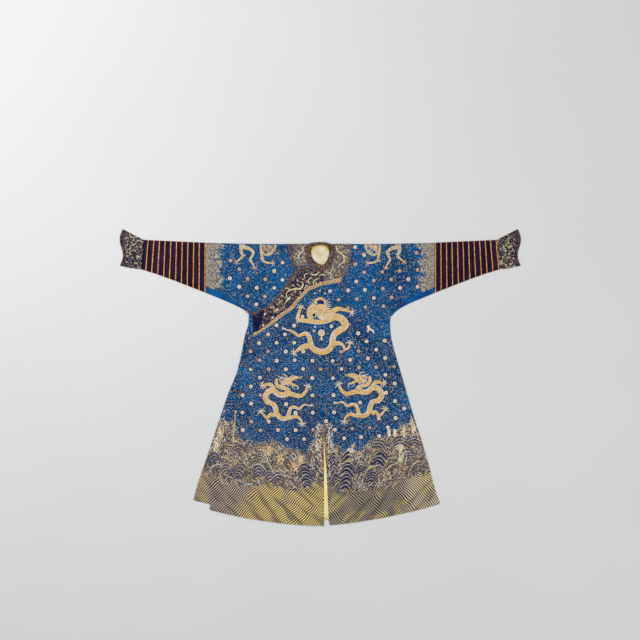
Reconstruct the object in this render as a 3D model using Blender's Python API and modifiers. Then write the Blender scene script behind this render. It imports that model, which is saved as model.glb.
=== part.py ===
"""A Chinese dragon robe laid flat on its back, front up.

Metres, +Z up. The robe lies on z = 0, its shoulders towards +Y and its wearer's left towards +X.
Every table is in millimetres, with one row for each section, and MM turns its numbers into metres.
"""

import math

import bmesh
import bpy
from mathutils import Vector

MM = 0.001

# Walls and the gaps between them.
CLOTH = 1.2 * MM  # a lined silk panel
TRIM = 1.0 * MM  # a lining, facing or binding
SEAM = 0.3 * MM  # between neighbouring pieces
LAYERS = 0.8 * MM  # between the back and a front
CENTRE_RISE = 0.8 * MM  # how much higher the fronts lie over the linings at the centre
CENTRE_REACH = (100 * MM, 250 * MM)  # where that rise starts to fall and where it ends
OVERLAP_RISE = 1.6 * MM  # how much higher the overlap lies over the inner front
OVERLAP_REACH = (-10 * MM, 15 * MM)  # where that rise starts and ends, towards -X

# Soft folds of the skirt: they fan out from a point above the neck.
FAN_CENTRE = 900 * MM
FOLD_FADE = (50 * MM, 450 * MM)  # distance below the middle where the folds start and are full
FOLDS = (
    # place in the fan, width in the fan, height
    (-0.25, 0.040, 1.4),
    (-0.13, 0.030, 1.0),
    (0.11, 0.032, 1.2),
    (0.20, 0.030, 0.9),
    (0.29, 0.036, 1.5),
)

# Outline of the body. Each row is a height y and the edge's x there.
LEFT_SIDE = (
    (-612, 581),
    (-546, 557),
    (-429, 527),
    (-313, 493),
    (-196, 455),
    (-80, 421),
    (36, 387),
    (153, 353),
    (211, 341),
    (269, 338),
    (305, 345),
    (333, 372),
    (377, 426),
    (411, 494),
    (444, 555),
    (660, 555),
)
RIGHT_SIDE = (
    (-595, -614),
    (-546, -603),
    (-429, -564),
    (-313, -525),
    (-196, -486),
    (-80, -447),
    (36, -401),
    (153, -375),
    (211, -363),
    (269, -347),
    (313, -346),
    (320, -349),
    (342, -375),
    (374, -420),
    (410, -476),
    (448, -555),
    (660, -555),
)
SHOULDER = (
    # x from the middle, y of the fold along the shoulder and the top of the sleeve
    (0, 648),
    (250, 648),
    (555, 654),
    (712, 661),
    (864, 668),
)
CENTRE_FRONT = (
    # y, x of the centre-front seam, and of the left edge of the slit below it
    (-716, 46),
    (-691, 42),
    (-449, 30),
    (-290, 18),
    (-230, 15.5),
    (541, 13.5),
)
OVERLAP_CENTRE = (
    # y, x of the overlap's edge at the centre front
    (-719, 17.3),
    (-360, 16.6),
    (-230, 14.9),
    (524, 12.9),
)
OVERLAP_SIDE = (
    # y, x of the overlap's fastened edge: up the side, then along the diagonal to the collarbone
    (-641, -537),
    (-313, -462),
    (-255, -446),
    (-148, -421),
    (-80, -408),
    (-12, -390),
    (65, -367),
    (128, -359),
    (193, -335),
    (298, -337),
    (318, -331),
    (337, -283),
    (361, -244),
    (400, -205),
    (449, -171),
    (497, -137),
    (536.6, -103),
)
INNER_FRONT = (
    # y, x of the inner front's free edge, under the overlap
    (-690, -60),
    (400, -60),
    (480, -40),
    (525, -18),
    (536, -14),
    (548, -11),
    (561, -31),
    (581, -44),
    (606, -50),
    (630, -46),
    (660, -44),
)
LEFT_NECK = (
    # y, x of the left body's edge under the neck binding
    (541, 13.5),
    (553, 30),
    (577, 43),
    (606, 48),
    (630, 46),
    (660, 44),
)
BACK_HEM = -693  # y of the back's hem at the centre
WAIST = 36  # y where the hem's curve has died out
HEM_SAG = {"left front": 14, "overlap": 17, "inner front": 14, "back": 15}
MID_CHEST = 500  # y of an added row, between those of the tables
BELOW_NECK = 540  # the back shares the fronts' rows up to here
BACK_ROWS = [600, 642]  # heights of its rows above that
FRONT_TOP = 635  # the fronts' last row of a table lies below this

# Sleeves. The right one mirrors the left one, apart from its underarm piece.
LEFT_GUSSET = (
    # x, y of the seam with the body, y of the sleeve's lower edge
    (346, 306, 298),
    (372, 333, 325),
    (426, 377, 356),
    (494, 411, 385),
    (555, 444, 411),
)
RIGHT_GUSSET = (
    (-350, 320.5, 313.5),
    (-375, 342, 331),
    (-420, 374, 354),
    (-476, 410, 378),
    (-555, 448, 411),
)
EXTENSION = (
    # x at the top, y at the top, x at the bottom, y at the bottom
    (555, 654, 555, 411),
    (709, 661, 715, 473),
    (787, 664.5, 797, 503),
    (857, 668, 870, 525),
)
CUFF = (
    (857, 668, 870, 525),
    (884, 682, 904, 528),
    (921, 701, 940, 535),
    (958, 720, 972, 543),
)
CUFF_STEPS = 6  # sections along a cuff
MOUTH_WAVE = 11 * MM  # how far the cuff's mouth curves in and out
RIBS = {
    # side: how many ribs, and the share of the length that they cover
    "left": (12, 1.0),
    "right": (11, 0.94),
}
RIB_WIDTH = 7 * MM
RIB_HEIGHT = 0.8 * MM
RIB_CLEARANCE = 1.1  # half-widths of a rib between its middle and a seam

# The neck opening, clockwise from the middle of the back neck.
NECK = (
    # x, y
    (0, 642),
    (24, 640),
    (38, 628),
    (43, 606),
    (38, 580),
    (27, 559),
    (13, 547),
    (-8, 553),
    (-27, 565),
    (-40, 584),
    (-45, 606),
    (-41, 628),
    (-26, 639),
)
NECK_STEPS = 4  # sections to each row of the table
BINDING_WIDTH = 26 * MM
BACK_BINDING_WIDTH = 15 * MM
BINDING_NARROWS = (628 * MM, 642 * MM)  # heights between which the binding narrows to its width at the back
BINDING_WALL = 1.3 * MM

# Facings on the fronts: rows run from the shoulder to the centre front.
LEFT_YOKE = (
    # inner x, inner y, outer x, outer y
    (60.8, 643, 150, 640),
    (66.6, 632, 150, 627),
    (70.2, 607, 150, 597),
    (68, 588, 149.3, 576),
    (63.6, 571, 146.6, 553),
    (53.2, 549, 135, 521),
    (45.4, 537.2, 108, 487),
    (30.4, 525, 61, 476.5),
    (14.2, 519.8, 14.2, 466),
)
RIGHT_YOKE = (
    (-65.5, 642.5, -137, 640),
    (-69.2, 632, -137, 628),
    (-72, 612, -136.2, 608),
    (-71.8, 600, -135.4, 597),
    (-65.4, 573.4, -130.1, 567),
    (-57.5, 559, -125.2, 553),
    (-47.5, 545.6, -120, 537.5),
)
SHOULDER_BINDING = (
    (-137.6, 628, -151, 628),
    (-136.6, 600, -150, 597),
    (-130.6, 566, -145, 562),
    (-120.8, 537.3, -134.5, 531.5),
)
OVERLAP_TOP = (
    # x, y: it follows the neck binding, then the yoke
    (-103, 536.6),
    (-90.1, 539),
    (-77.2, 541),
    (-64.4, 542),
    (-51.5, 541.5),
    (-38.6, 537.5),
    (-25.7, 531),
    (-12.9, 525.6),
    (0, 521.9),
    (12.9, 518.9),
)
DIAGONAL = (
    # x and y at the upper edge, x and y at the lower edge
    (12.4, 518.6, 12.4, 447),
    (-18, 526.6, -14, 437),
    (-45, 538.8, -22.5, 434),
    (-74, 540.3, -34, 430),
    (-102, 536, -48, 425),
    (-135, 497, -76, 398),
    (-169, 449, -100, 373),
    (-203, 400, -131, 333),
    (-243, 360, -178, 300),
    (-251, 354, -245, 249),
    (-263, 345.5, -308, 208.5),
    (-330, 315, -325, 198),
)
BAND_ROWS = 10  # rows of DIAGONAL, after the first, that the embroidered band covers
END_SEAM = Vector((-0.5, -0.1, 0)) * MM  # from the band's last row to the first row of its plain end
EDGE_BINDING = 16 * MM
BROCADE = 18 * MM
YOKE_EDGING = (
    # x and y at the upper edge, x and y at the lower edge
    (14.2, 465.4, 14.2, 447),
    (108.6, 486.4, 100, 463),
)

EDGING_COLUMNS = 5
EDGING_ROWS = 4

NECK_LINING = (
    # y, right x, left x
    (528, -18, 24),
    (545, -38, 40),
    (570, -54, 53),
    (600, -60, 58),
    (625, -56, 56),
    (642, -40, 40),
)
SLIT_LINING = (
    (-690, 4, 66),
    (-449, 4, 54),
    (-225, 4, 30),
)

BALL = 5 * MM  # radius of a button
BUTTONS = {
    # x, y
    "button_neck": (-5, 540),
    "button_collarbone": (-103, 530),
    "button_underarm": (-352, 322),
    "button_side_upper": (-377, 66),
    "button_side_middle": (-400, -8),
    "button_side_lower": (-417, -64),
}
LOOPS = {
    # the button it holds, then x and y where it is sewn on
    "loop_underarm": ("button_underarm", (-297, 290)),
    "loop_side_upper": ("button_side_upper", (-321, 40)),
    "loop_side_lower": ("button_side_lower", (-352, -74)),
}
CORD = 1.1 * MM  # radius of a loop's cord
LOOP_RING = BALL + CORD + SEAM

COLUMNS = 9
FOLD_TURNS = (0, 36, 72, 108, 144, 180)
MATERIALS = {
    # red, green, blue of the screen colour, roughness, metallic value
    "embroidered_blue": (67, 97, 123, 0.6, 0.0),
    "plain_blue": (24, 82, 134, 0.5, 0.0),
    "ribbed_silk": (42, 28, 46, 0.55, 0.0),
    "cuff_brocade": (95, 86, 81, 0.6, 0.1),
    "collar_brocade": (112, 104, 96, 0.6, 0.1),
    "navy_silk": (34, 36, 66, 0.55, 0.0),
    "rust_binding": (116, 74, 52, 0.6, 0.0),
    "gold_brocade": (190, 160, 112, 0.45, 0.3),
    "neck_binding": (70, 58, 60, 0.6, 0.0),
    "cream_lining": (217, 201, 171, 0.6, 0.0),
    "yellow_lining": (231, 215, 150, 0.55, 0.0),
    "gilt_brass": (196, 160, 96, 0.3, 1.0),
    "loop_cord": (150, 96, 60, 0.6, 0.0),
}


def between(start, end, share):
    return start + (end - start) * share


def eased(value, low, high):
    """0 below low, 1 above high, and a smooth rise between them."""
    share = min(max((value - low) / (high - low), 0.0), 1.0)
    return share * share * (3 - 2 * share)


def look_up(table, key):
    """The second column of a table where its first is key, in metres, with straight lines between rows."""
    for (low, first), (high, last) in zip(table, table[1:]):
        if key / MM <= high:
            break
    share = min(max((key / MM - low) / (high - low), 0.0), 1.0)
    return between(first, last, share) * MM


def plan(x, y):
    return Vector((x, y, 0)) * MM


def front_base(x):
    """Height of the lower face of a front that lies on the back."""
    return CLOTH + LAYERS + CENTRE_RISE * (1 - eased(abs(x), *CENTRE_REACH))


def overlap_base(x):
    """Height of the lower face of the overlap, which climbs from the centre seam onto the inner front."""
    return front_base(x) + OVERLAP_RISE * eased(-x, *OVERLAP_REACH)


def fold_lift(x, y):
    """How far the skirt's soft folds lift a front."""
    fan = x / (FAN_CENTRE - y)
    total = sum(height * MM * math.exp(-(((fan - place) / width) ** 2)) for place, width, height in FOLDS)
    return total * eased(-y, *FOLD_FADE)


def on_left_front(x, y, offset=0.0):
    return Vector((x, y, front_base(x) + CLOTH / 2 + fold_lift(x, y) + offset))


def on_inner_front(x, y, offset=0.0):
    return Vector((x, y, front_base(x) + CLOTH / 2 + offset))


def on_overlap(x, y, offset=0.0):
    return Vector((x, y, overlap_base(x) + CLOTH / 2 + fold_lift(x, y) + offset))


def on_shoulder(x, turn, offset=0.0):
    """A point on the shoulder fold: turn is 0 where it leaves the front and pi where it joins the back."""
    radius = front_base(x) / 2
    axis = look_up(SHOULDER, abs(x)) - radius - CLOTH / 2
    reach = radius + offset
    return Vector((x, axis + reach * math.sin(turn), CLOTH / 2 + radius + reach * math.cos(turn)))


ON_PANEL = CLOTH / 2 + SEAM + TRIM / 2  # from a panel's middle to the middle of a trim that lies on it


def row_of(inner, outer, sag=0.0, columns=COLUMNS):
    """Plan points of one row of cloth, from its inner edge to its outer edge."""
    points = []
    for column in range(columns + 1):
        share = column / columns
        point = inner.lerp(outer, share)
        point.y -= sag * 4 * share * (1 - share)
        points.append(point)
    return points


def skirt_rows(inner_edge, outer_edge, inner_hem, sag):
    """Rows from the hem to the waist, whose slope and sag fade out upwards."""
    rows = []
    hem, waist = outer_edge[0][0] * MM, WAIST * MM
    for height, _ in outer_edge:
        if height > WAIST:
            break
        drop = (waist - height * MM) / (waist - hem)
        inner_y = between(waist, inner_hem * MM, drop)
        inner = Vector((look_up(inner_edge, inner_y), inner_y, 0))
        outer = Vector((look_up(outer_edge, height * MM), height * MM, 0))
        rows.append(row_of(inner, outer, sag * MM * drop**2))
    return rows


def level_rows(heights, inner_edge, outer_edge):
    """Rows at one height each, from an inner edge to an outer edge."""
    rows = []
    for height in heights:
        inner = Vector((look_up(inner_edge, height * MM), height * MM, 0))
        outer = Vector((look_up(outer_edge, height * MM), height * MM, 0))
        rows.append(row_of(inner, outer))
    return rows


def bodice_heights(outer_edge, neck_edge):
    """The heights above the waist at which an edge of the body turns, up to the shoulder fold."""
    heights = {height for height, _ in outer_edge + neck_edge if WAIST < height < FRONT_TOP}
    return sorted(heights | {MID_CHEST})


def material_of(name):
    found = bpy.data.materials.get(name)
    if found:
        return found
    red, green, blue, roughness, metallic = MATERIALS[name]
    made = bpy.data.materials.new(name)
    made.use_nodes = True
    shader = made.node_tree.nodes["Principled BSDF"]
    colour = [(channel / 255) ** 2.2 for channel in (red, green, blue)]
    shader.inputs["Base Color"].default_value = (*colour, 1)
    shader.inputs["Roughness"].default_value = roughness
    shader.inputs["Metallic"].default_value = metallic
    return made


def add_piece(name, mesh_or_curve, material):
    piece = bpy.data.objects.new(name, mesh_or_curve)
    mesh_or_curve.materials.append(material_of(material))
    robe.objects.link(piece)
    return piece


def mesh_from(name, shape):
    mesh = bpy.data.meshes.new(name)
    shape.to_mesh(mesh)
    shape.free()
    mesh.shade_smooth()
    mesh.set_sharp_from_angle(angle=math.radians(40))
    return mesh


def cloth_sheet(name, rows, wall, material):
    """A wall of cloth whose middle runs through rows of points."""
    shape = bmesh.new()
    bmesh.ops.create_grid(shape, x_segments=len(rows[0]) - 1, y_segments=len(rows) - 1, size=1)
    shape.verts.ensure_lookup_table()
    for vert, point in zip(shape.verts, [point for row in rows for point in row]):
        vert.co = point
    piece = add_piece(name, mesh_from(name, shape), material)
    thickness = piece.modifiers.new("Cloth wall", "SOLIDIFY")
    thickness.thickness = wall
    thickness.offset = 0
    return piece


def closed_loft(name, rings, material):
    """A solid through closed rings of points, the last of which joins the first again."""
    shape = bmesh.new()
    loops = [[shape.verts.new(point) for point in ring] for ring in rings]
    for loop, after in zip(loops, loops[1:] + loops[:1]):
        for index in range(len(loop)):
            following = (index + 1) % len(loop)
            shape.faces.new((loop[index], loop[following], after[following], after[index]))
    bmesh.ops.recalc_face_normals(shape, faces=shape.faces)
    return add_piece(name, mesh_from(name, shape), material)


def placed(rows, surface, offset=0.0):
    return [[surface(point.x, point.y, offset) for point in row] for row in rows]


def folded_body(name, fronts, backs, front_surface):
    """A width of cloth that runs up the front, over the shoulder and down the back."""
    rows = placed(fronts, front_surface)
    shoulder = fronts[-1]
    for turn in FOLD_TURNS:
        rows.append([on_shoulder(point.x, math.radians(turn)) for point in shoulder])
    for row in reversed(backs):
        rows.append([Vector((point.x, point.y, CLOTH / 2)) for point in row])
    cloth_sheet(name, rows, CLOTH, "embroidered_blue")


def add_bodies():
    half_gap = SEAM / 2 / MM
    back_centre = ((BACK_HEM, half_gap), (BACK_ROWS[-1], half_gap))
    for side, outer_edge, inner_edge, neck, hem, sag, surface in (
        ("left_body", LEFT_SIDE, CENTRE_FRONT, LEFT_NECK, -716, "left front", on_left_front),
        ("right_body", RIGHT_SIDE, INNER_FRONT, INNER_FRONT, -690, "inner front", on_inner_front),
    ):
        sign = 1 if side == "left_body" else -1
        front_edge = inner_edge if inner_edge is neck else inner_edge[:-1] + neck
        heights = bodice_heights(outer_edge, neck)
        trimmed = tuple((y, x - sign * half_gap if abs(x) == 555 else x) for y, x in outer_edge)
        fronts = skirt_rows(front_edge, trimmed, hem, HEM_SAG[sag])
        fronts += level_rows(heights, front_edge, trimmed)
        centre = tuple((y, sign * x) for y, x in back_centre)
        backs = skirt_rows(centre, trimmed, BACK_HEM, HEM_SAG["back"])
        shared = [height for height in heights if height < BELOW_NECK]
        backs += level_rows(shared + BACK_ROWS, centre, trimmed)
        folded_body(side, fronts, backs, surface)


def add_overlap():
    rows = skirt_rows(OVERLAP_CENTRE, OVERLAP_SIDE, -719, HEM_SAG["overlap"])
    heights = [height for height, _ in OVERLAP_SIDE[:-1] if height > WAIST]
    rows += level_rows(heights, OVERLAP_CENTRE, OVERLAP_SIDE)
    rows.append([plan(x, y) for x, y in reversed(OVERLAP_TOP)])
    cloth_sheet("overlap_front", placed(rows, on_overlap), CLOTH, "embroidered_blue")


def gusset_row(x, seam_y, edge_y):
    """One section across an underarm piece: seam, lower edge of the sleeve, seam on the back."""
    radius = front_base(x) / 2
    axis = edge_y + radius + CLOTH / 2
    front, back = CLOTH / 2 + 2 * radius, CLOTH / 2
    row = [Vector((x, between(seam_y, axis, share), front)) for share in (0, 0.5)]
    for turn in FOLD_TURNS:
        angle = math.radians(turn)
        row.append(Vector((x, axis - radius * math.sin(angle), back + radius * (1 + math.cos(angle)))))
    row += [Vector((x, between(axis, seam_y, share), back)) for share in (0.5, 1)]
    return row


def add_gussets():
    clear_of_body = 2 * SEAM
    for name, table in (("gusset_left", LEFT_GUSSET), ("gusset_right", RIGHT_GUSSET)):
        rows = []
        for (x, seam, edge), (next_x, next_seam, next_edge) in zip(table, table[1:]):
            for share in (0, 0.5):
                at_x = between(x, next_x, share) * MM
                at_seam = between(seam, next_seam, share) * MM
                at_edge = between(edge, next_edge, share) * MM
                rows.append(gusset_row(at_x, at_seam - clear_of_body, at_edge))
        x, seam, edge = (value * MM for value in table[-1])
        rows.append(gusset_row(x - math.copysign(SEAM / 2, x), seam - clear_of_body, edge))
        cloth_sheet(name, rows, CLOTH, "plain_blue")


def flat_ring(top, bottom, offset, raised=0.0, bow=0.0):
    """Points round a flattened tube between its top and bottom folds, offset from the middle of its wall."""
    radius = front_base(top.x) / 2
    reach = radius + offset
    margin = radius + CLOTH / 2
    high, low = top.y - margin, bottom.y + margin
    points = []
    for share in (0.12, 0.3, 0.5, 0.7, 0.88):
        points.append((between(low, high, share), CLOTH / 2 + 2 * radius + offset + raised))
    for turn in (0, 45, 90, 135, 180):
        angle = math.radians(turn)
        lift = raised * (1 + math.cos(angle)) / 2
        out = reach + lift
        points.append((high + out * math.sin(angle), CLOTH / 2 + radius + out * math.cos(angle)))
    for share in (0.88, 0.7, 0.5, 0.3, 0.12):
        points.append((between(low, high, share), CLOTH / 2 - offset))
    for turn in (180, 135, 90, 45, 0):
        angle = math.radians(turn)
        lift = raised * (1 + math.cos(angle)) / 2
        out = reach + lift
        points.append((low - out * math.sin(angle), CLOTH / 2 + radius + out * math.cos(angle)))
    ring = []
    for y, z in points:
        share = (y - bottom.y) / (top.y - bottom.y)
        x = between(bottom.x, top.x, share) - math.copysign(bow, top.x) * math.sin(2 * math.pi * share)
        ring.append(Vector((x, y, z)))
    return ring


def sleeve_section(table, share, sign):
    """Top and bottom of a sleeve tube at a share of its length, with straight lines between rows."""
    along = between(table[0][0], table[-1][0], share)
    index = sum(row[0] <= along for row in table[1:-1])
    start, end = table[index], table[index + 1]
    part = (along - start[0]) / (end[0] - start[0])
    row = [between(a, b, part) for a, b in zip(start, end)]
    return plan(sign * row[0], row[1]), plan(sign * row[2], row[3])


def add_extension(side, sign):
    """A flattened, ribbed tube. The ribs are raised on its upper face, over a plain inside."""
    top_length = (EXTENSION[-1][0] - EXTENSION[0][0]) * MM
    ends = SEAM / 2 / top_length
    rib = RIB_WIDTH / 2 / top_length
    ribs, reach = RIBS[side]
    first, last = ends + RIB_CLEARANCE * rib, reach - ends - RIB_CLEARANCE * rib
    stations = [(ends, 0.0)]
    for index in range(ribs):
        middle = between(first, last, index / (ribs - 1))
        stations += [(middle - rib, 0.0), (middle, RIB_HEIGHT), (middle + rib, 0.0)]
    stations.append((1 - ends, 0.0))
    outer = []
    for share, raised in stations:
        outer.append(flat_ring(*sleeve_section(EXTENSION, share, sign), CLOTH / 2, raised))
    inner_shares = [(row[0] - EXTENSION[0][0]) * MM / top_length for row in EXTENSION[1:-1]]
    inner_shares = [ends, *inner_shares, 1 - ends]
    inner = [flat_ring(*sleeve_section(EXTENSION, share, sign), -CLOTH / 2) for share in inner_shares]
    closed_loft(f"sleeve_extension_{side}", outer + inner[::-1], "ribbed_silk")


def add_cuff(name, sign):
    """A flattened tube that flares to a hoof-shaped mouth."""
    start = SEAM / 2 / ((CUFF[-1][0] - CUFF[0][0]) * MM)
    shares = [between(start, 1, step / CUFF_STEPS) for step in range(CUFF_STEPS + 1)]
    rings = []
    for offset in (CLOTH / 2, -CLOTH / 2):
        walls = []
        for share in shares:
            top, bottom = sleeve_section(CUFF, share, sign)
            walls.append(flat_ring(top, bottom, offset, bow=MOUTH_WAVE * share**2))
        rings += walls if offset > 0 else walls[::-1]
    closed_loft(name, rings, "cuff_brocade")


def neck_outline():
    """Points of the neck opening's edge and the outward direction at each."""
    corners = [plan(x, y) for x, y in NECK]
    count = len(corners)
    outline = []
    for index in range(count):
        before, start, end, after = (corners[(index + step) % count] for step in (-1, 0, 1, 2))
        for step in range(NECK_STEPS):
            share = step / NECK_STEPS
            point = 0.5 * (
                2 * start
                + (end - before) * share
                + (2 * before - 5 * start + 4 * end - after) * share**2
                + (3 * start - before - 3 * end + after) * share**3
            )
            outline.append(point)
    directions = []
    for index, point in enumerate(outline):
        along = outline[(index + 1) % len(outline)] - outline[index - 1]
        directions.append(Vector((-along.y, along.x, 0)).normalized())
    return list(zip(outline, directions))


def binding_floor(point):
    """Height of the neck binding's underside: it drops to the lining at the back neck, inside the fold."""
    on_fronts = front_base(0) + CLOTH + SEAM
    on_lining = front_base(0)
    at_back_neck = (1 - eased(abs(point.x), 18 * MM, 32 * MM)) * eased(point.y, 620 * MM, 636 * MM)
    return between(on_fronts, on_lining, at_back_neck)


def add_neck_binding():
    rings = []
    crown = front_base(0) + CLOTH + SEAM + BINDING_WALL
    for point, outward in neck_outline():
        width = between(BINDING_WIDTH, BACK_BINDING_WIDTH, eased(point.y, *BINDING_NARROWS))
        ring = []
        for share, height in ((0, 0), (0, 0.75), (0.2, 1), (0.8, 1), (1, 0.75), (1, 0)):
            place = point + outward * width * share
            ring.append(Vector((place.x, place.y, between(binding_floor(place), crown, height))))
        rings.append(ring)
    closed_loft("neck_binding", rings, "neck_binding")


def facing_rows(table, columns):
    return [row_of(plan(row[0], row[1]), plan(row[2], row[3]), columns=columns) for row in table]


def add_shoulder_facing(name, table, material, columns, surface):
    """A facing that lies on a front and ends on the crest of the shoulder fold."""
    rows = facing_rows(table, columns)
    shoulder = []
    for turn in (90, 45, 0):
        shoulder.append([on_shoulder(point.x, math.radians(turn), ON_PANEL) for point in rows[0]])
    cloth_sheet(name, shoulder + placed(rows, surface, ON_PANEL), TRIM, material)


def add_facings():
    add_shoulder_facing("yoke_left", LEFT_YOKE, "collar_brocade", 5, on_left_front)
    add_shoulder_facing("yoke_right", RIGHT_YOKE, "collar_brocade", 4, on_inner_front)
    add_shoulder_facing("shoulder_binding", SHOULDER_BINDING, "rust_binding", 1, on_inner_front)
    upper, lower = facing_rows(YOKE_EDGING, EDGING_COLUMNS)
    steps = []
    for step in range(EDGING_ROWS + 1):
        steps.append([high.lerp(low, step / EDGING_ROWS) for high, low in zip(upper, lower)])
    cloth_sheet("yoke_edging", placed(steps, on_left_front, ON_PANEL), TRIM, "gold_brocade")


def across_band(upper, lower, line):
    """A point between the diagonal band's two edges: a line names an edge and a distance in from it."""
    edge, distance = line
    across = (lower - upper).normalized()
    return upper + across * distance if edge == "upper" else lower - across * distance


def diagonal_strip(name, rows, first_line, last_line, columns, material):
    strip = []
    for upper, lower in rows:
        first, last = across_band(upper, lower, first_line), across_band(upper, lower, last_line)
        strip.append(row_of(first, last, columns=columns))
    cloth_sheet(name, placed(strip, on_overlap, ON_PANEL), TRIM, material)


def add_diagonal():
    edges = [(plan(row[0], row[1]), plan(row[2], row[3])) for row in DIAGONAL]
    rows = [edges[0]]
    for (upper, lower), (next_upper, next_lower) in zip(edges, edges[1:]):
        rows.append((upper.lerp(next_upper, 0.5), lower.lerp(next_lower, 0.5)))
        rows.append((next_upper, next_lower))
    split = 2 * BAND_ROWS
    inside = ("upper", EDGE_BINDING + SEAM)
    outside = ("lower", BROCADE + SEAM)
    diagonal_strip("edge_binding", rows, ("upper", 0), ("upper", EDGE_BINDING), 1, "rust_binding")
    diagonal_strip("band_edging", rows, ("lower", BROCADE), ("lower", 0), 1, "gold_brocade")
    diagonal_strip("diagonal_band", rows[: split + 1], inside, outside, 5, "collar_brocade")
    upper, lower = rows[split]
    beside_band = [(upper + END_SEAM, lower + END_SEAM), *rows[split + 1 :]]
    diagonal_strip("band_end", beside_band, inside, outside, 3, "navy_silk")


def add_linings():
    height = CLOTH + SEAM + TRIM / 2
    for name, table, columns, material in (
        ("neck_lining", NECK_LINING, 6, "cream_lining"),
        ("slit_lining", SLIT_LINING, 2, "yellow_lining"),
    ):
        rows = [row_of(plan(right, y), plan(left, y), columns=columns) for y, right, left in table]
        cloth_sheet(name, [[point + Vector((0, 0, height)) for point in row] for row in rows], TRIM, material)


def top_of_cloth(x, y):
    """Height of the uppermost cloth under a button or loop at the side."""
    on_the_overlap = x > look_up(OVERLAP_SIDE, y) - BALL
    surface = on_overlap if on_the_overlap else on_inner_front
    return surface(x, y).z + CLOTH / 2


def button_height(name):
    x, y = (value * MM for value in BUTTONS[name])
    if name == "button_neck":
        below = front_base(0) + CLOTH + SEAM + BINDING_WALL
    elif name == "button_collarbone":
        below = on_overlap(x, y).z + CLOTH / 2 + SEAM + TRIM
    else:
        below = top_of_cloth(x, y)
    return below + SEAM + BALL


def add_buttons():
    for name, (x, y) in BUTTONS.items():
        shape = bmesh.new()
        bmesh.ops.create_uvsphere(shape, u_segments=14, v_segments=9, radius=BALL)
        ball = add_piece(name, mesh_from(name, shape), "gilt_brass")
        ball.location = (x * MM, y * MM, button_height(name))


def add_loops():
    """Cord loops: from the overlap out to the button, round it, and back."""
    for name, (button, (start_x, start_y)) in LOOPS.items():
        x, y = BUTTONS[button]
        middle, start = plan(x, y), plan(start_x, start_y)
        along = (start - middle).normalized()
        aside = Vector((-along.y, along.x, 0))
        gap = CORD + SEAM / 2
        turns = [math.radians(40 + 280 * step / 12) for step in range(13)]
        ring = [middle + (along * math.cos(turn) + aside * math.sin(turn)) * LOOP_RING for turn in turns]
        length = (start - middle).length
        strands = [2 * LOOP_RING, length / 2, length]
        there = [middle + along * reach + aside * gap for reach in reversed(strands)]
        back = [middle + along * reach - aside * gap for reach in strands]
        curve = bpy.data.curves.new(name, "CURVE")
        curve.dimensions = "3D"
        curve.bevel_depth = CORD
        curve.bevel_resolution = 2
        curve.use_fill_caps = True
        route = curve.splines.new("POLY")
        points = there + ring + back
        route.points.add(len(points) - 1)
        for knot, point in zip(route.points, points):
            height = on_overlap(point.x, point.y).z + CLOTH / 2 + SEAM + CORD
            if name == "loop_underarm":
                height += SEAM + TRIM
            knot.co = (point.x, point.y, height, 1)
        add_piece(name, curve, "loop_cord")


for leftover in list(bpy.data.objects):
    bpy.data.objects.remove(leftover)
robe = bpy.data.collections.new("chinese_dragon_robe")
bpy.context.scene.collection.children.link(robe)
add_bodies()
add_overlap()
add_gussets()
for side_name, side_sign in (("left", 1), ("right", -1)):
    add_extension(side_name, side_sign)
    add_cuff(f"cuff_{side_name}", side_sign)
add_neck_binding()
add_facings()
add_diagonal()
add_linings()
add_buttons()
add_loops()
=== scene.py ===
"""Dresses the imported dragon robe: creased silk, raised embroidery, linings, trims and buttons.

Tables and plan coordinates are in millimetres, with the shoulders towards +Y and the wearer's left
towards +X. Meshes are in metres. On the body, y runs on past the shoulder fold and down the back, as on
the uncut cloth.
"""

import math
import random

import bpy
import numpy as np
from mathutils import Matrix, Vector


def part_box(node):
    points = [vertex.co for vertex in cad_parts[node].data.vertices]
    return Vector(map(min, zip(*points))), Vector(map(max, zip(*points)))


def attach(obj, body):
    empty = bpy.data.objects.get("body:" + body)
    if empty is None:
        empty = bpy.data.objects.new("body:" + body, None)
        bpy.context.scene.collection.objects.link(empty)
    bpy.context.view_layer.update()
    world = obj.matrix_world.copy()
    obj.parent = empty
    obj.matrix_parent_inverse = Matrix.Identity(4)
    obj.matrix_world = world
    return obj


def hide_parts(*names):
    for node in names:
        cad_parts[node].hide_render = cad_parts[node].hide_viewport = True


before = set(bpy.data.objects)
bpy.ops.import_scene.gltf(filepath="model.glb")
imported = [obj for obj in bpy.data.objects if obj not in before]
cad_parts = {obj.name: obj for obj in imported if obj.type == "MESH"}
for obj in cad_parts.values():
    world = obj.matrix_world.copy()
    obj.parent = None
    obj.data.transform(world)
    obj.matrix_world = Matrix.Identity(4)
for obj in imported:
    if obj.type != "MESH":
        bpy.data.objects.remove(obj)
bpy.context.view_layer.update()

MM = 0.001
dice = random.Random(1875)

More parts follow.
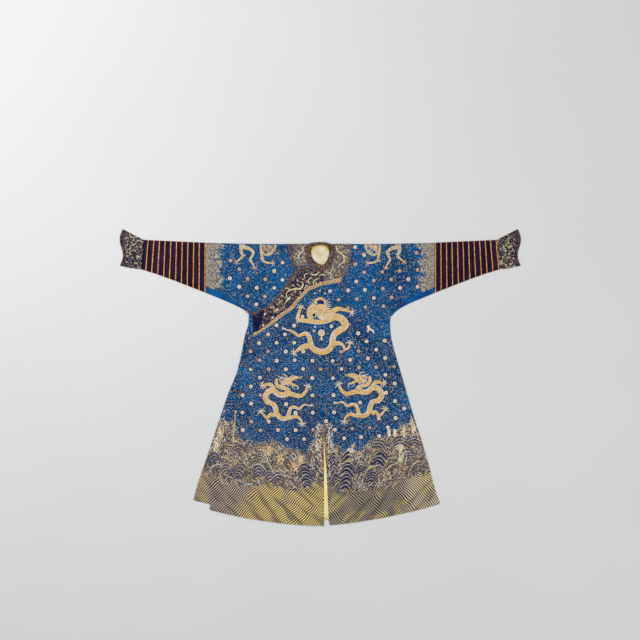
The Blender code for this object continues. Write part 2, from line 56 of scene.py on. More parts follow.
# Heights and walls, as the solids have them.
CLOTH = 1.2
SHELL = 1.0  # wall of a fine shell, inside the solid's own wall
TRIM = 1.0
SEAM = 0.3
MIDDLE = CLOTH / 2
AIR = 0.8  # between the back and the fronts, and twice that at the middle
AIR_EASES = (100, 250)  # from the middle, where the extra air starts to go and where it is gone
BEHIND = 0.4  # from the middle of the solid's wall to the silk's outer face, on the back
BEHIND_LIFT = (0.15, 0.16)  # behind, stitching keeps this share of its height, and at most this height
OVERLAP_LIFT = 1.6  # of the overlap over the inner front
FOLDS = (
    # place in the fan, width in the fan, height
    (-0.25, 0.040, 1.4),
    (-0.13, 0.030, 1.0),
    (0.11, 0.032, 1.2),
    (0.20, 0.030, 0.9),
    (0.29, 0.036, 1.5),
)
CREASES = (
    # from x, y, to x, y, width, height: a ridge where positive and a trough where negative
    (-60, -300, -110, -640, 16, 0.9),
    (-96, -470, -150, -690, 22, -0.25),
    (-205, -200, -262, -560, 20, 0.7),
    (-330, -250, -392, -610, 26, -0.25),
    (-286, 40, -330, -170, 18, 0.8),
    (-120, 150, -150, -90, 24, 0.6),
    (-240, 240, -330, 120, 14, 0.9),
    (60, -330, 96, -690, 15, 1.0),
    (140, -420, 182, -650, 20, -0.35),
    (252, -180, 300, -520, 22, 0.8),
    (372, -260, 452, -600, 18, 0.9),
    (318, 200, 250, 30, 20, 0.8),
    (330, 262, 232, 180, 12, 1.0),
    (356, 300, 300, 340, 13, -0.4),
    (120, 330, 160, 120, 26, 0.5),
    (420, 420, 330, 520, 16, 0.7),
    (520, 470, 430, 600, 20, -0.4),
    (-420, 420, -330, 500, 18, 0.8),
    (-510, 450, -440, 590, 18, -0.4),
    (-300, 380, -380, 560, 22, 0.5),
    (-520, -420, -545, -560, 14, 0.6),
)

# Edges of the body's pieces. Each row is a height y and the edge's x there.
LEFT_SIDE = (
    (-612, 581), (-546, 557), (-429, 527), (-313, 493), (-196, 455), (-80, 421), (36, 387), (153, 353),
    (211, 341), (269, 338), (305, 345), (333, 372), (377, 426), (411, 494), (444, 555), (660, 555),
)
RIGHT_SIDE = (
    (-595, -614), (-546, -603), (-429, -564), (-313, -525), (-196, -486), (-80, -447), (36, -401),
    (153, -375), (211, -363), (269, -347), (313, -346), (320, -349), (342, -375), (374, -420), (410, -476),
    (448, -555), (660, -555),
)
SHOULDER = ((0, 648), (250, 648), (555, 654), (712, 661), (864, 668))
CENTRE_FRONT = ((-716, 46), (-691, 42), (-449, 30), (-290, 18), (-230, 15.5), (541, 13.5))
OVERLAP_CENTRE = ((-719, 17.3), (-360, 16.6), (-230, 14.9), (524, 12.9))
OVERLAP_SIDE = (
    (-641, -537), (-313, -462), (-255, -446), (-148, -421), (-80, -408), (-12, -390), (65, -367),
    (128, -359), (193, -335), (298, -337), (318, -331), (337, -283), (361, -244), (400, -205), (449, -171),
    (497, -137), (536.6, -103),
)
INNER_FRONT = (
    (-690, -60), (400, -60), (480, -40), (525, -18), (536, -14), (548, -11), (561, -31), (581, -44),
    (606, -50), (630, -46), (660, -44),
)
LEFT_NECK = ((541, 13.5), (553, 30), (577, 43), (606, 48), (630, 46), (660, 44))
BACK_CENTRE = ((-693, 0.2), (660, 0.2))
WAIST = 36
SLEEVE_END = 555
COLUMNS = 66  # of a panel's grid
ROW = 8.0  # between rows of a panel's grid
FIRST_ROW = WAIST + 8.5
LAST_ROW = 640  # where a front reaches its shoulder fold
OVERLAP_LAST_ROW = 488  # where the overlap's slanting top begins
RIB_PROFILE = ((-1, 0), (-0.7, 0.45), (-0.35, 0.85), (0, 1), (0.35, 0.85), (0.7, 0.45), (1, 0))
BORDER = 1.5  # strip beside a cut edge, over which the edge rounds
TRIM_BORDER = 0.8
CUT_EDGE = 0.7  # share of a gusset's wall left at its cut edges
STRIPE_PITCH = 9.8
BINDING_WALL = 1.3
END_SEAM = (0.5, 0.1)  # from the band to its plain end
BACK_ROWS = (
    642, 630, 600, 560, 520, 480, 444, 420, 395, 370, 345, 325, 305, 285, 260, 225, 180, 130, 80,
)

# Underarm pieces: x and the y of the sleeve's lower edge.
LEFT_GUSSET = ((346, 298), (372, 325), (426, 356), (494, 385), (555, 411))
RIGHT_GUSSET = ((350, 313.5), (375, 331), (420, 354), (476, 378), (555, 411))

# Sleeve tubes: x and y at the top fold, x and y at the bottom fold.
EXTENSION = ((555, 654, 555, 411), (709, 661, 715, 473), (787, 664.5, 797, 503), (857, 668, 870, 525))
CUFF = ((857, 668, 870, 525), (884, 682, 904, 528), (921, 701, 940, 535), (958, 720, 972, 543))
MOUTH_WAVE = 11
RIBS = {"left": (12, 1.0), "right": (11, 0.94)}  # how many, and the share of the length they cover
RIB_WIDTH = 7
RIB_HEIGHT = 0.8

NECK = (
    (0, 642), (24, 640), (38, 628), (43, 606), (38, 580), (27, 559), (13, 547), (-8, 553), (-27, 565),
    (-40, 584), (-45, 606), (-41, 628), (-26, 639),
)
BINDING_WIDTH = (26, 15)  # in front and behind
BINDING_NARROWS = (628, 642)
LEFT_YOKE = (
    # inner x, inner y, outer x, outer y
    (60.8, 643, 150, 640), (66.6, 632, 150, 627), (70.2, 607, 150, 597), (68, 588, 149.3, 576),
    (63.6, 571, 146.6, 553), (53.2, 549, 135, 521), (45.4, 537.2, 108, 487), (30.4, 525, 61, 476.5),
    (14.2, 519.8, 14.2, 466),
)
RIGHT_YOKE = (
    (-65.5, 642.5, -137, 640), (-69.2, 632, -137, 628), (-72, 612, -136.2, 608), (-71.8, 600, -135.4, 597),
    (-65.4, 573.4, -130.1, 567), (-57.5, 559, -125.2, 553), (-47.5, 545.6, -120, 537.5),
)
SHOULDER_BINDING = (
    (-137.6, 628, -151, 628), (-136.6, 600, -150, 597), (-130.6, 566, -145, 562),
    (-120.8, 537.3, -134.5, 531.5),
)
OVERLAP_TOP = (
    # x, y
    (-103, 536.6), (-90.1, 539), (-77.2, 541), (-64.4, 542), (-51.5, 541.5), (-38.6, 537.5), (-25.7, 531),
    (-12.9, 525.6), (0, 521.9), (12.9, 518.9),
)
YOKE_EDGING = ((14.2, 465.4, 14.2, 447), (108.6, 486.4, 100, 463))
DIAGONAL = (
    # x and y at the upper edge, x and y at the lower edge
    (12.4, 518.6, 12.4, 447), (-18, 526.6, -14, 437), (-45, 538.8, -22.5, 434), (-74, 540.3, -34, 430),
    (-102, 536, -48, 425), (-135, 497, -76, 398), (-169, 449, -100, 373), (-203, 400, -131, 333),
    (-243, 360, -178, 300), (-251, 354, -245, 249), (-263, 345.5, -308, 208.5), (-330, 315, -325, 198),
)
BAND_ROWS = 10
EDGE_BINDING = 16
BROCADE = 18
NECK_LINING = (
    (528, -18, 24), (545, -38, 40), (570, -54, 53), (600, -60, 58), (625, -56, 56), (642, -40, 40),
)
SLIT_LINING = ((-690, 4, 66), (-449, 4, 54), (-225, 4, 30))
BUTTONS = ("neck", "collarbone", "underarm", "side_upper", "side_middle", "side_lower")
LOOPS = ("underarm", "side_upper", "side_lower")

# Where the wave border, the slanting stripes and the sleeve ends begin: x along the hem, y of the boundary.
SEA_EDGE = (
    (-620, -150), (-500, -160), (-470, -205), (-436, -215), (-404, -232), (-380, -296), (-340, -308),
    (-286, -322), (-236, -304), (-196, -322), (-150, -338), (-104, -352), (-76, -364), (-52, -334),
    (-34, -306), (-22, -262), (-8, -226), (30, -226), (44, -262), (62, -318), (96, -334), (122, -362),
    (150, -352), (190, -342), (226, -326), (262, -304), (300, -296), (334, -290), (366, -262), (402, -232),
    (440, -220), (620, -200),
)
STRIPE_EDGE = (
    (-620, -452), (-540, -474), (-470, -496), (-400, -520), (-330, -530), (-260, -512), (-196, -536),
    (-130, -548), (-60, -520), (14, -508), (60, -530), (120, -562), (190, -556), (260, -540), (330, -528),
    (400, -500), (470, -470), (620, -438),
)


def eased(value, low, high):
    share = np.clip((value - low) / (high - low), 0.0, 1.0)
    return share * share * (3 - 2 * share)


def curve(table, keys):
    """The second column of a table at keys in its first, on a smooth curve that never overshoots a row."""
    rows = np.array(table, float)
    rows = rows[np.argsort(rows[:, 0])]
    steps, falls = np.diff(rows[:, 0]), np.diff(rows[:, 1])
    slopes = falls / steps
    before, after = slopes[:-1], slopes[1:]
    same = before * after > 0
    middle = np.where(same, 2 * before * after / np.where(same, before + after, 1), 0)
    slopes = np.concatenate([slopes[:1], middle, slopes[-1:]])
    keys = np.asarray(keys, float)
    index = np.clip(np.searchsorted(rows[:, 0], keys) - 1, 0, len(steps) - 1)
    step = steps[index]
    share = np.clip((keys - rows[index, 0]) / step, 0, 1)
    return (
        (1 + 2 * share) * (1 - share) ** 2 * rows[index, 1]
        + share * (1 - share) ** 2 * step * slopes[index]
        + share**2 * (3 - 2 * share) * rows[index + 1, 1]
        + share**2 * (share - 1) * step * slopes[index + 1]
    )


def rise(x):
    """Height of the lower face of a front that lies on the back."""
    return CLOTH + AIR + AIR * (1 - eased(np.abs(x), *AIR_EASES))


def skirt_folds(x, y):
    fan = x / (900 - y)
    total = sum(height * np.exp(-(((fan - place) / width) ** 2)) for place, width, height in FOLDS)
    return total * eased(-y, 50, 450)


def relaxed(x, y):
    """Listed creases, and the slight unevenness of hand-worked silk."""
    total = np.zeros_like(x)
    for from_x, from_y, to_x, to_y, width, height in CREASES:
        run_x, run_y = to_x - from_x, to_y - from_y
        share = np.clip(((x - from_x) * run_x + (y - from_y) * run_y) / (run_x**2 + run_y**2), 0, 1)
        away = (x - from_x - share * run_x) ** 2 + (y - from_y - share * run_y) ** 2
        total += height * np.exp(-away / width**2) * (0.35 + 0.65 * np.sin(np.pi * share) ** 0.7)
    uneven = 0.10 * np.sin(x / 31 + 1.7 * np.sin(y / 83)) + 0.08 * np.sin(y / 24 + 2.1 * np.sin(x / 57))
    return total + uneven


def main_top(x, y):
    """Upper face of the left front and of the overlap."""
    return rise(x) + OVERLAP_LIFT * eased(-x, -10, 15) + CLOTH + skirt_folds(x, y) + relaxed(x, y)


def inner_top(x, y):
    """Upper face of the inner front. It is creased only where the overlap leaves it bare."""
    bare = eased(curve(OVERLAP_SIDE, y) - x, -4, 14) + (y > curve(OVERLAP_TOP, x)) * (x < 14)
    return rise(x) + CLOTH + relaxed(x, y) * np.clip(bare, 0, 1)


def shown_top(x, y):
    """Upper face of whichever front shows at a place on the skirt."""
    return np.where(x > curve(OVERLAP_SIDE, y), main_top(x, y), inner_top(x, y))


def on_main(x, y):
    return main_top(x, y) + SEAM + TRIM


def on_inner(x, y):
    return inner_top(x, y) + SEAM + TRIM


def joined(*parts):
    return np.stack(np.broadcast_arrays(*parts), axis=-1)


def shoulder_fold(x):
    """Radius of the fold over the shoulder, and the y of its axis."""
    radius = rise(x) / 2
    return radius, curve(SHOULDER, np.abs(x)) - radius - MIDDLE


def lay(x, y, lift, surface):
    """Points at a lift off a surface of the body. Past the shoulder y runs down the back."""
    radius, axis = shoulder_fold(x)
    front_y = np.minimum(y, axis)
    turn = np.clip((y - axis) / radius, 0, np.pi)
    behind = np.maximum(y - axis - np.pi * radius, 0)
    share = (1 - np.cos(turn)) / 2
    under = BEHIND + np.where(lift < 0, lift, np.minimum(BEHIND_LIFT[0] * lift, BEHIND_LIFT[1]))
    reach = radius + (surface(x, front_y) - rise(x) - MIDDLE + lift) * (1 - share) + under * share
    return joined(x, front_y + reach * np.sin(turn) - behind, MIDDLE + radius + reach * np.cos(turn))


def grid_faces(rows, columns, first=0, around=False):
    index = first + np.arange(rows * columns).reshape(rows, columns)
    if around:
        index = np.concatenate([index, index[:, :1]], axis=1)
    return joined(index[:-1, :-1], index[:-1, 1:], index[1:, 1:], index[1:, :-1]).reshape(-1, 4)


def circle(count):
    return np.linspace(0, 2 * np.pi, count, endpoint=False)


def make_piece(name, points, faces, materials, picks=None, values=None, thread=None):
    """A mesh object. values stay at its points, and thread is a point's place along and across a stitch."""
    mesh = bpy.data.meshes.new(name)
    mesh.from_pydata((np.asarray(points) * MM).reshape(-1, 3).tolist(), [], faces.tolist())
    for material in materials:
        mesh.materials.append(material)
    if picks is not None:
        mesh.polygons.foreach_set("material_index", picks.astype(np.int32))
    for key, numbers in (values or {}).items():
        mesh.attributes.new(key, "FLOAT", "POINT").data.foreach_set("value", numbers.astype(np.float32))
    if thread is not None:
        corners = np.empty(len(mesh.loops), np.int32)
        mesh.loops.foreach_get("vertex_index", corners)
        mesh.uv_layers.new(name="thread").data.foreach_set("uv", thread.astype(np.float32)[corners].ravel())
    mesh.shade_smooth()
    mesh.update()
    piece = bpy.data.objects.new(name, mesh)
    bpy.context.scene.collection.objects.link(piece)
    return piece


def declare(piece, node=None):
    """Says that a piece rides on the root body, and hides the solid it stands for."""
    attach(piece, "root")
    if node:
        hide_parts(node)


def edged(count, width, border):
    """Shares across a piece, with a narrow strip beside each edge so that the edge rounds over."""
    near = border / np.asarray(width, float)[..., None]
    inside = near + (1 - 2 * near) * np.linspace(0, 1, count - 2)
    return np.concatenate([np.zeros_like(near), inside, np.ones_like(near)], axis=-1)


def spanned(inner, outer, share):
    return inner[:, None] + (outer - inner)[:, None] * share


def shell(name, x, y, surface, material, wall=SHELL, place=lay, values=None):
    """A closed wall of cloth with rounded edges under a surface, through a grid of plan points."""
    drawn = np.zeros(x.shape)
    for depth, share in ((1, 0.1), (0, 0.34)):
        drawn[[depth, -1 - depth]] = share * wall
        drawn[:, [depth, -1 - depth]] = share * wall
    upper, lower = place(x, y, -drawn, surface), place(x, y, drawn - wall, surface)
    return closed_sheet(name, upper, lower, material, values)


def closed_sheet(name, upper, lower, material, values=None):
    """Two grids of points, joined along their edges."""
    rows, columns = upper.shape[:2]
    count = rows * columns
    index = np.arange(count).reshape(rows, columns)
    rim = np.concatenate([index[0, :-1], index[:-1, -1], index[-1, :0:-1], index[:0:-1, 0]])
    following = np.roll(rim, -1)
    sides = joined(following, rim, rim + count, following + count)
    faces = np.concatenate([grid_faces(rows, columns), grid_faces(rows, columns, count)[:, ::-1], sides])
    if np.cross(upper[1, 1] - upper[1, 0], upper[2, 1] - upper[1, 1])[2] < 0:
        faces = faces[:, ::-1]
    doubled = {key: np.concatenate([np.ravel(numbers)] * 2) for key, numbers in (values or {}).items()}
    return make_piece(name, [upper, lower], faces, [material], values=doubled)


def zones(x, y):
    """Signed distances, in millimetres, into the wave border, the stripes and the sleeve ends."""
    reach = np.abs(x) - 484 + 10 * np.sin(y / 14) + 7 * np.sin(y / 6.3 + 1)
    return {
        "sea": curve(SEA_EDGE, x) - y,
        "stripe": curve(STRIPE_EDGE, x) - y,
        "end": np.where(y > 250, reach, -60),
    }


def skirt(inner_edge, outer_edge, sag, step=9.0):
    """Plan grid from the hem to the waist. The hem sags between its corners."""
    hem, inner_hem = outer_edge[0][0], inner_edge[0][0]
    count = int((WAIST - hem) / step)
    drop = np.concatenate([[1, 1 - BORDER / (WAIST - hem)], np.linspace(1, 0, count)[1:]])
    outer_y, inner_y = WAIST + (hem - WAIST) * drop, WAIST + (inner_hem - WAIST) * drop
    outer_x, inner_x = curve(outer_edge, outer_y), curve(inner_edge, inner_y)
    share = edged(COLUMNS, np.abs(outer_x - inner_x), BORDER)
    return (
        spanned(inner_x, outer_x, share),
        spanned(inner_y, outer_y, share) - (sag * drop**2)[:, None] * 4 * share * (1 - share),
    )


def level(heights, inner_edge, outer_edge):
    """Plan grid of level rows."""
    outer_x, inner_x = curve(outer_edge, heights), curve(inner_edge, heights)
    share = edged(COLUMNS, np.abs(outer_x - inner_x), BORDER)
    return spanned(inner_x, outer_x, share), np.repeat(heights[:, None], COLUMNS, axis=1)


def body(name, outer_edge, inner_edge, surface, material):
    """One width of cloth: up the front, over the shoulder and down the back."""
    sign = 1 if outer_edge[0][1] > 0 else -1
    seam = [(y, x - sign * SEAM / 2 if abs(x) == SLEEVE_END else x) for y, x in outer_edge]
    centre = [(y, sign * x) for y, x in BACK_CENTRE]
    front_x, front_y = skirt(inner_edge, seam, sag=14)
    up_x, up_y = level(np.arange(FIRST_ROW, LAST_ROW, ROW), inner_edge, seam)
    radius, axis = shoulder_fold(up_x[-1])
    over_x, over_y = np.repeat(up_x[-1:], 9, axis=0), axis + radius * np.pi * (np.arange(9) / 8)[:, None]
    down_x, down_y = level(np.array(BACK_ROWS, float), centre, seam)
    tail_x, tail_y = skirt(centre, seam, sag=15, step=24.0)
    back_x, back_y = np.concatenate([down_x, tail_x[::-1]]), np.concatenate([down_y, tail_y[::-1]])
    radius, axis = shoulder_fold(back_x)
    x = np.concatenate([front_x, up_x, over_x, back_x])
    y = np.concatenate([front_y, up_y, over_y, 2 * axis + np.pi * radius - back_y])
    shown_y = np.concatenate([front_y, up_y, np.minimum(over_y, SHOULDER[0][1]), back_y])
    return shell(name, x, y, surface, material, values=zones(x, shown_y))


def overlap(material):
    """The front that laps over the other one, from its hem up to its slanting top."""
    x, y = skirt(OVERLAP_CENTRE, OVERLAP_SIDE, sag=17)
    up_x, up_y = level(np.arange(FIRST_ROW, OVERLAP_LAST_ROW, ROW), OVERLAP_CENTRE, OVERLAP_SIDE)
    share = edged(COLUMNS, np.array([116.0]), BORDER)
    top_y = curve(OVERLAP_TOP, OVERLAP_TOP[-1][0] - 115.9 * share)
    rows_x, rows_y = [x, up_x], [y, up_y]
    for lift in (0.12, 0.24, 0.36, 0.48, 0.6, 0.72, 0.84, 0.96, 1.0):
        y = up_y[-1, 0] + (top_y - up_y[-1, 0]) * lift
        rows_x.append(spanned(curve(OVERLAP_CENTRE, y[0, :1]), curve(OVERLAP_SIDE, y[0, -1:]), share))
        rows_y.append(y)
    x, y = np.concatenate(rows_x), np.concatenate(rows_y)
    return shell("overlap_cloth", x, y, main_top, material, values=zones(x, y))


def underarm(name, table, side_edge, sign, material):
    """A folded strip under the sleeve, with soft pleats along it."""
    start, end = table[0][0], table[-1][0] - SEAM / 2
    x = np.concatenate([[start, start + 1.5], np.linspace(start + 9, end - 1.5, 24), [end]])
    heights = np.linspace(300, 448, 300)
    seam = np.interp(x, np.abs(curve(side_edge, heights)), heights) - 2 * SEAM
    radius = rise(x) / 2
    axis = np.minimum(curve(table, x), seam - 2 * radius - 1.3) + radius + MIDDLE
    faces = []
    for face in (0.5, -0.5):
        rows = []
        for share in (0.0, 0.06, 0.2, 0.35, 0.5, 0.65, 0.8, 0.95):
            pleat = 0.25 * np.sin(share * 14 + x / 90) * (0.06 < share)
            drawn = CUT_EDGE if share == 0 else 1
            rows.append((seam + (axis - seam) * share, MIDDLE + 2 * radius + face * drawn + pleat + 0.1))
        for turn in np.linspace(0, np.pi, 9):
            reach = radius + face
            rows.append((axis - reach * np.sin(turn), MIDDLE + radius + reach * np.cos(turn)))
        for share in (0.5, 0.95, 1.0):
            drawn = CUT_EDGE if share == 1 else 1
            rows.append((axis + (seam - axis) * share, MIDDLE - face * drawn))
        faces.append(np.array([joined(sign * x, *row) for row in rows]))
    return closed_sheet(name, *faces, material)


def tube_ring(top, bottom, offset, raised, bow):
    """Points round a flattened tube between its top and bottom folds."""
    radius = rise(top[0]) / 2
    margin = radius + MIDDLE
    high, low = top[1] - margin, bottom[1] + margin
    across = low + (high - low) * np.linspace(0.03, 0.97, 22)
    turns = np.radians(np.linspace(0, 180, 9))
    reach = radius + offset + raised * (1 + np.cos(turns)) / 2
    out = reach * np.sin(turns)
    y = np.concatenate([across, high + out, across[::-2], low - out[::-1]])
    bend = MIDDLE + radius + reach * np.cos(turns)
    front, back = np.full(22, MIDDLE + 2 * radius + offset + raised), np.full(11, MIDDLE - offset)
    share = (y - bottom[1]) / (top[1] - bottom[1])
    x = bottom[0] + (top[0] - bottom[0]) * share - math.copysign(bow, top[0]) * np.sin(2 * np.pi * share)
    return joined(x, y, np.concatenate([front, bend, back, bend[::-1]]))


def tube(name, table, sign, stations, material, wobble, bow=0.0):
    """A closed, flattened tube of cloth. A station is a share along it, a raised height and a value."""
    table = np.array(table, float)
    outer, inner, along = [], [], []
    for share, raised, value in stations:
        at = table[0, 0] + (table[-1, 0] - table[0, 0]) * share
        top_y, bottom_x, bottom_y = (np.interp(at, table[:, 0], table[:, column]) for column in (1, 2, 3))
        top, bottom = (sign * at, top_y), (sign * bottom_x, bottom_y)
        ring = tube_ring(top, bottom, SHELL / 2, raised, bow * share**2)
        under = tube_ring(top, bottom, -SHELL / 2, 0.0, bow * share**2)
        swell = wobble(ring[:, 0], ring[:, 1]) * (ring[:, 2] > MIDDLE + rise(top[0]) / 2)
        ring[:, 2] += swell
        under[:, 2] += swell
        outer.append(ring)
        inner.append(under)
        along.append(np.full(len(ring), value))
    rings = np.array(outer + inner[::-1])
    rows, columns = rings.shape[:2]
    faces = grid_faces(rows + 1, columns, around=True) % (rows * columns)
    values = {"along": np.ravel(along + along[::-1])}
    return make_piece(name, rings, faces[:, ::-sign], [material], values=values)


def through(before, start, end, after, shares):
    """The stretch from start to end of a smooth curve through four points."""
    return 0.5 * (
        2 * start
        + (end - before) * shares
        + (2 * before - 5 * start + 4 * end - after) * shares**2
        + (3 * start - before - 3 * end + after) * shares**3
    )


def smooth_path(points, step):
    """Even points on a smooth curve through a few, and their distances along it."""
    knots = np.array(points, float)
    if len(knots) == 2:
        dense = knots[0] + (knots[1] - knots[0]) * np.linspace(0, 1, 9)[:, None]
    else:
        ends = np.concatenate([[2 * knots[0] - knots[1]], knots, [2 * knots[-1] - knots[-2]]])
        shares = np.linspace(0, 1, 10, endpoint=False)[:, None]
        parts = [through(*stretch, shares) for stretch in zip(ends, ends[1:], ends[2:], ends[3:])]
        dense = np.concatenate(parts + [knots[-1:]])
    lengths = np.concatenate([[0], np.cumsum(np.hypot(*np.diff(dense, axis=0).T))])
    places = np.linspace(0, lengths[-1], max(4, int(round(lengths[-1] / step)) + 1))
    return joined(*(np.interp(places, lengths, line) for line in dense.T)), places


def beside(path):
    """Unit vectors to the left of a path."""
    along = np.gradient(path, axis=0)
    along /= np.maximum(np.hypot(*along.T), 1e-9)[:, None]
    return joined(-along[:, 1], along[:, 0])


def polar(x, y, heading, reach):
    turn = math.radians(heading)
    return x + reach * math.cos(turn), y + reach * math.sin(turn)


class Stitching:
    """Raised stitching in one piece. Its points are about the middle of its motif, which may be flipped."""

    def __init__(self, name, surface=main_top, at=(0, 0), flip=1, sides=None, **threads):
        self.name, self.surface, self.at, self.flip, self.sides = name, surface, at, flip, sides
        self.threads = {**THREADS, **threads}
        self.points, self.faces, self.picks, self.thread = [], [], [], []
        self.count = 0
        self.covered = []  # x, y and radius of what other stitching keeps clear of

    def placed(self, x, y):
        return self.at[0] + self.flip * x, self.at[1] + y

    def patch(self, x, y, lift, thread, uv, around=False):
        if self.sides:
            x = np.clip(x, *(curve(side, y) + inward for side, inward in zip(self.sides, (7, -7))))
        points = lay(x, y, lift, self.surface)
        faces = grid_faces(*x.shape, self.count, around)
        if np.cross(points[0, 1] - points[0, 0], points[1, 0] - points[0, 0])[2] < 0:
            faces = faces[:, ::-1]
        self.points.append(points.reshape(-1, 3))
        self.faces.append(faces)
        self.picks.append(np.full(len(faces), list(self.threads).index(thread)))
        self.thread.append(uv.reshape(-1, 2))
        self.count += x.size

    def ribbon(self, points, widths, thread, height=0.6, across=5, cover=True):
        """A raised band with rounded ends along a smooth path."""
        widest = max(widths)
        path, places = smooth_path([self.placed(*point) for point in points], max(2.2, widest * 0.28))
        width = np.interp(places / places[-1], np.linspace(0, 1, len(widths)), widths)
        from_end = np.minimum(places, places[-1] - places) / np.maximum(width / 2, 0.3)
        width = width * np.sqrt(np.clip(1 - (1 - np.minimum(from_end, 1)) ** 2, 0.02, 1))
        if across == 5:
            shares, domes = np.array([-1, -0.62, 0, 0.62, 1]), np.array([-0.12, 0.72, 1, 0.72, -0.12])
        else:
            shares, domes = np.array([-1, 0, 1]), np.array([-0.12, 1, -0.12])
        offset = shares * width[:, None] / 2
        x, y = (path[:, axis : axis + 1] + beside(path)[:, axis : axis + 1] * offset for axis in (0, 1))
        slim = np.minimum(1, width / max(widest * 0.5, 0.1))[:, None]
        self.patch(x, y, height * domes * (0.35 + 0.65 * slim), thread, joined(places[:, None], offset))
        if cover:
            self.covered += [(*spot, wide / 2) for spot, wide in zip(path[::3], width[::3])]

    def hair(self, points, widths, thread, height=0.6):
        """A thin ribbon that other stitching may cross."""
        self.ribbon(points, widths, thread, height, 3, cover=False)

    def dot(self, x, y, radius, thread, height=0.8, around=12, squash=1.0, cover=True):
        x, y = self.placed(x, y)
        angles, reach = circle(around), radius * np.array([1.0, 0.8, 0.45, 0.04])[:, None]
        out_x, out_y = reach * np.cos(angles), squash * reach * np.sin(angles)
        domes = height * np.array([-0.12, 0.6, 0.92, 1.0])[:, None]
        self.patch(x + out_x, y + out_y, domes, thread, joined(out_x, out_y), around=True)
        if cover:
            self.covered.append((x, y, radius))

    def ring(self, x, y, radius, width, thread, height, around):
        x, y = self.placed(x, y)
        angles, reach = circle(around), radius + width * np.array([0.5, 0.2, -0.2, -0.5])[:, None]
        domes = height * np.array([-0.12, 1, 1, -0.12])[:, None]
        uv = joined(radius * angles, reach - radius)
        self.patch(x + reach * np.cos(angles), y + reach * np.sin(angles), domes, thread, uv, around=True)
        self.covered.append((x, y, radius + width / 2))

    def strokes(self, rows):
        """Rows of thread, height, widths and points."""
        for thread, height, widths, points in rows:
            self.ribbon(points, widths, thread, height, 5 if max(widths) > 9 else 3)

    def free(self, x, y, room):
        return all((x - a) ** 2 + (y - b) ** 2 > (room + r) ** 2 for a, b, r in self.covered)

    def finish(self, slot="embroidered_blue"):
        points, faces, picks, thread = map(np.concatenate, (self.points, self.faces, self.picks, self.thread))
        declare(make_piece(self.name, points, faces, self.threads.values(), picks, thread=thread * MM))
        return self


def screen(red, green, blue):
    return tuple((channel / 255) ** 2.2 for channel in (red, green, blue)) + (1.0,)


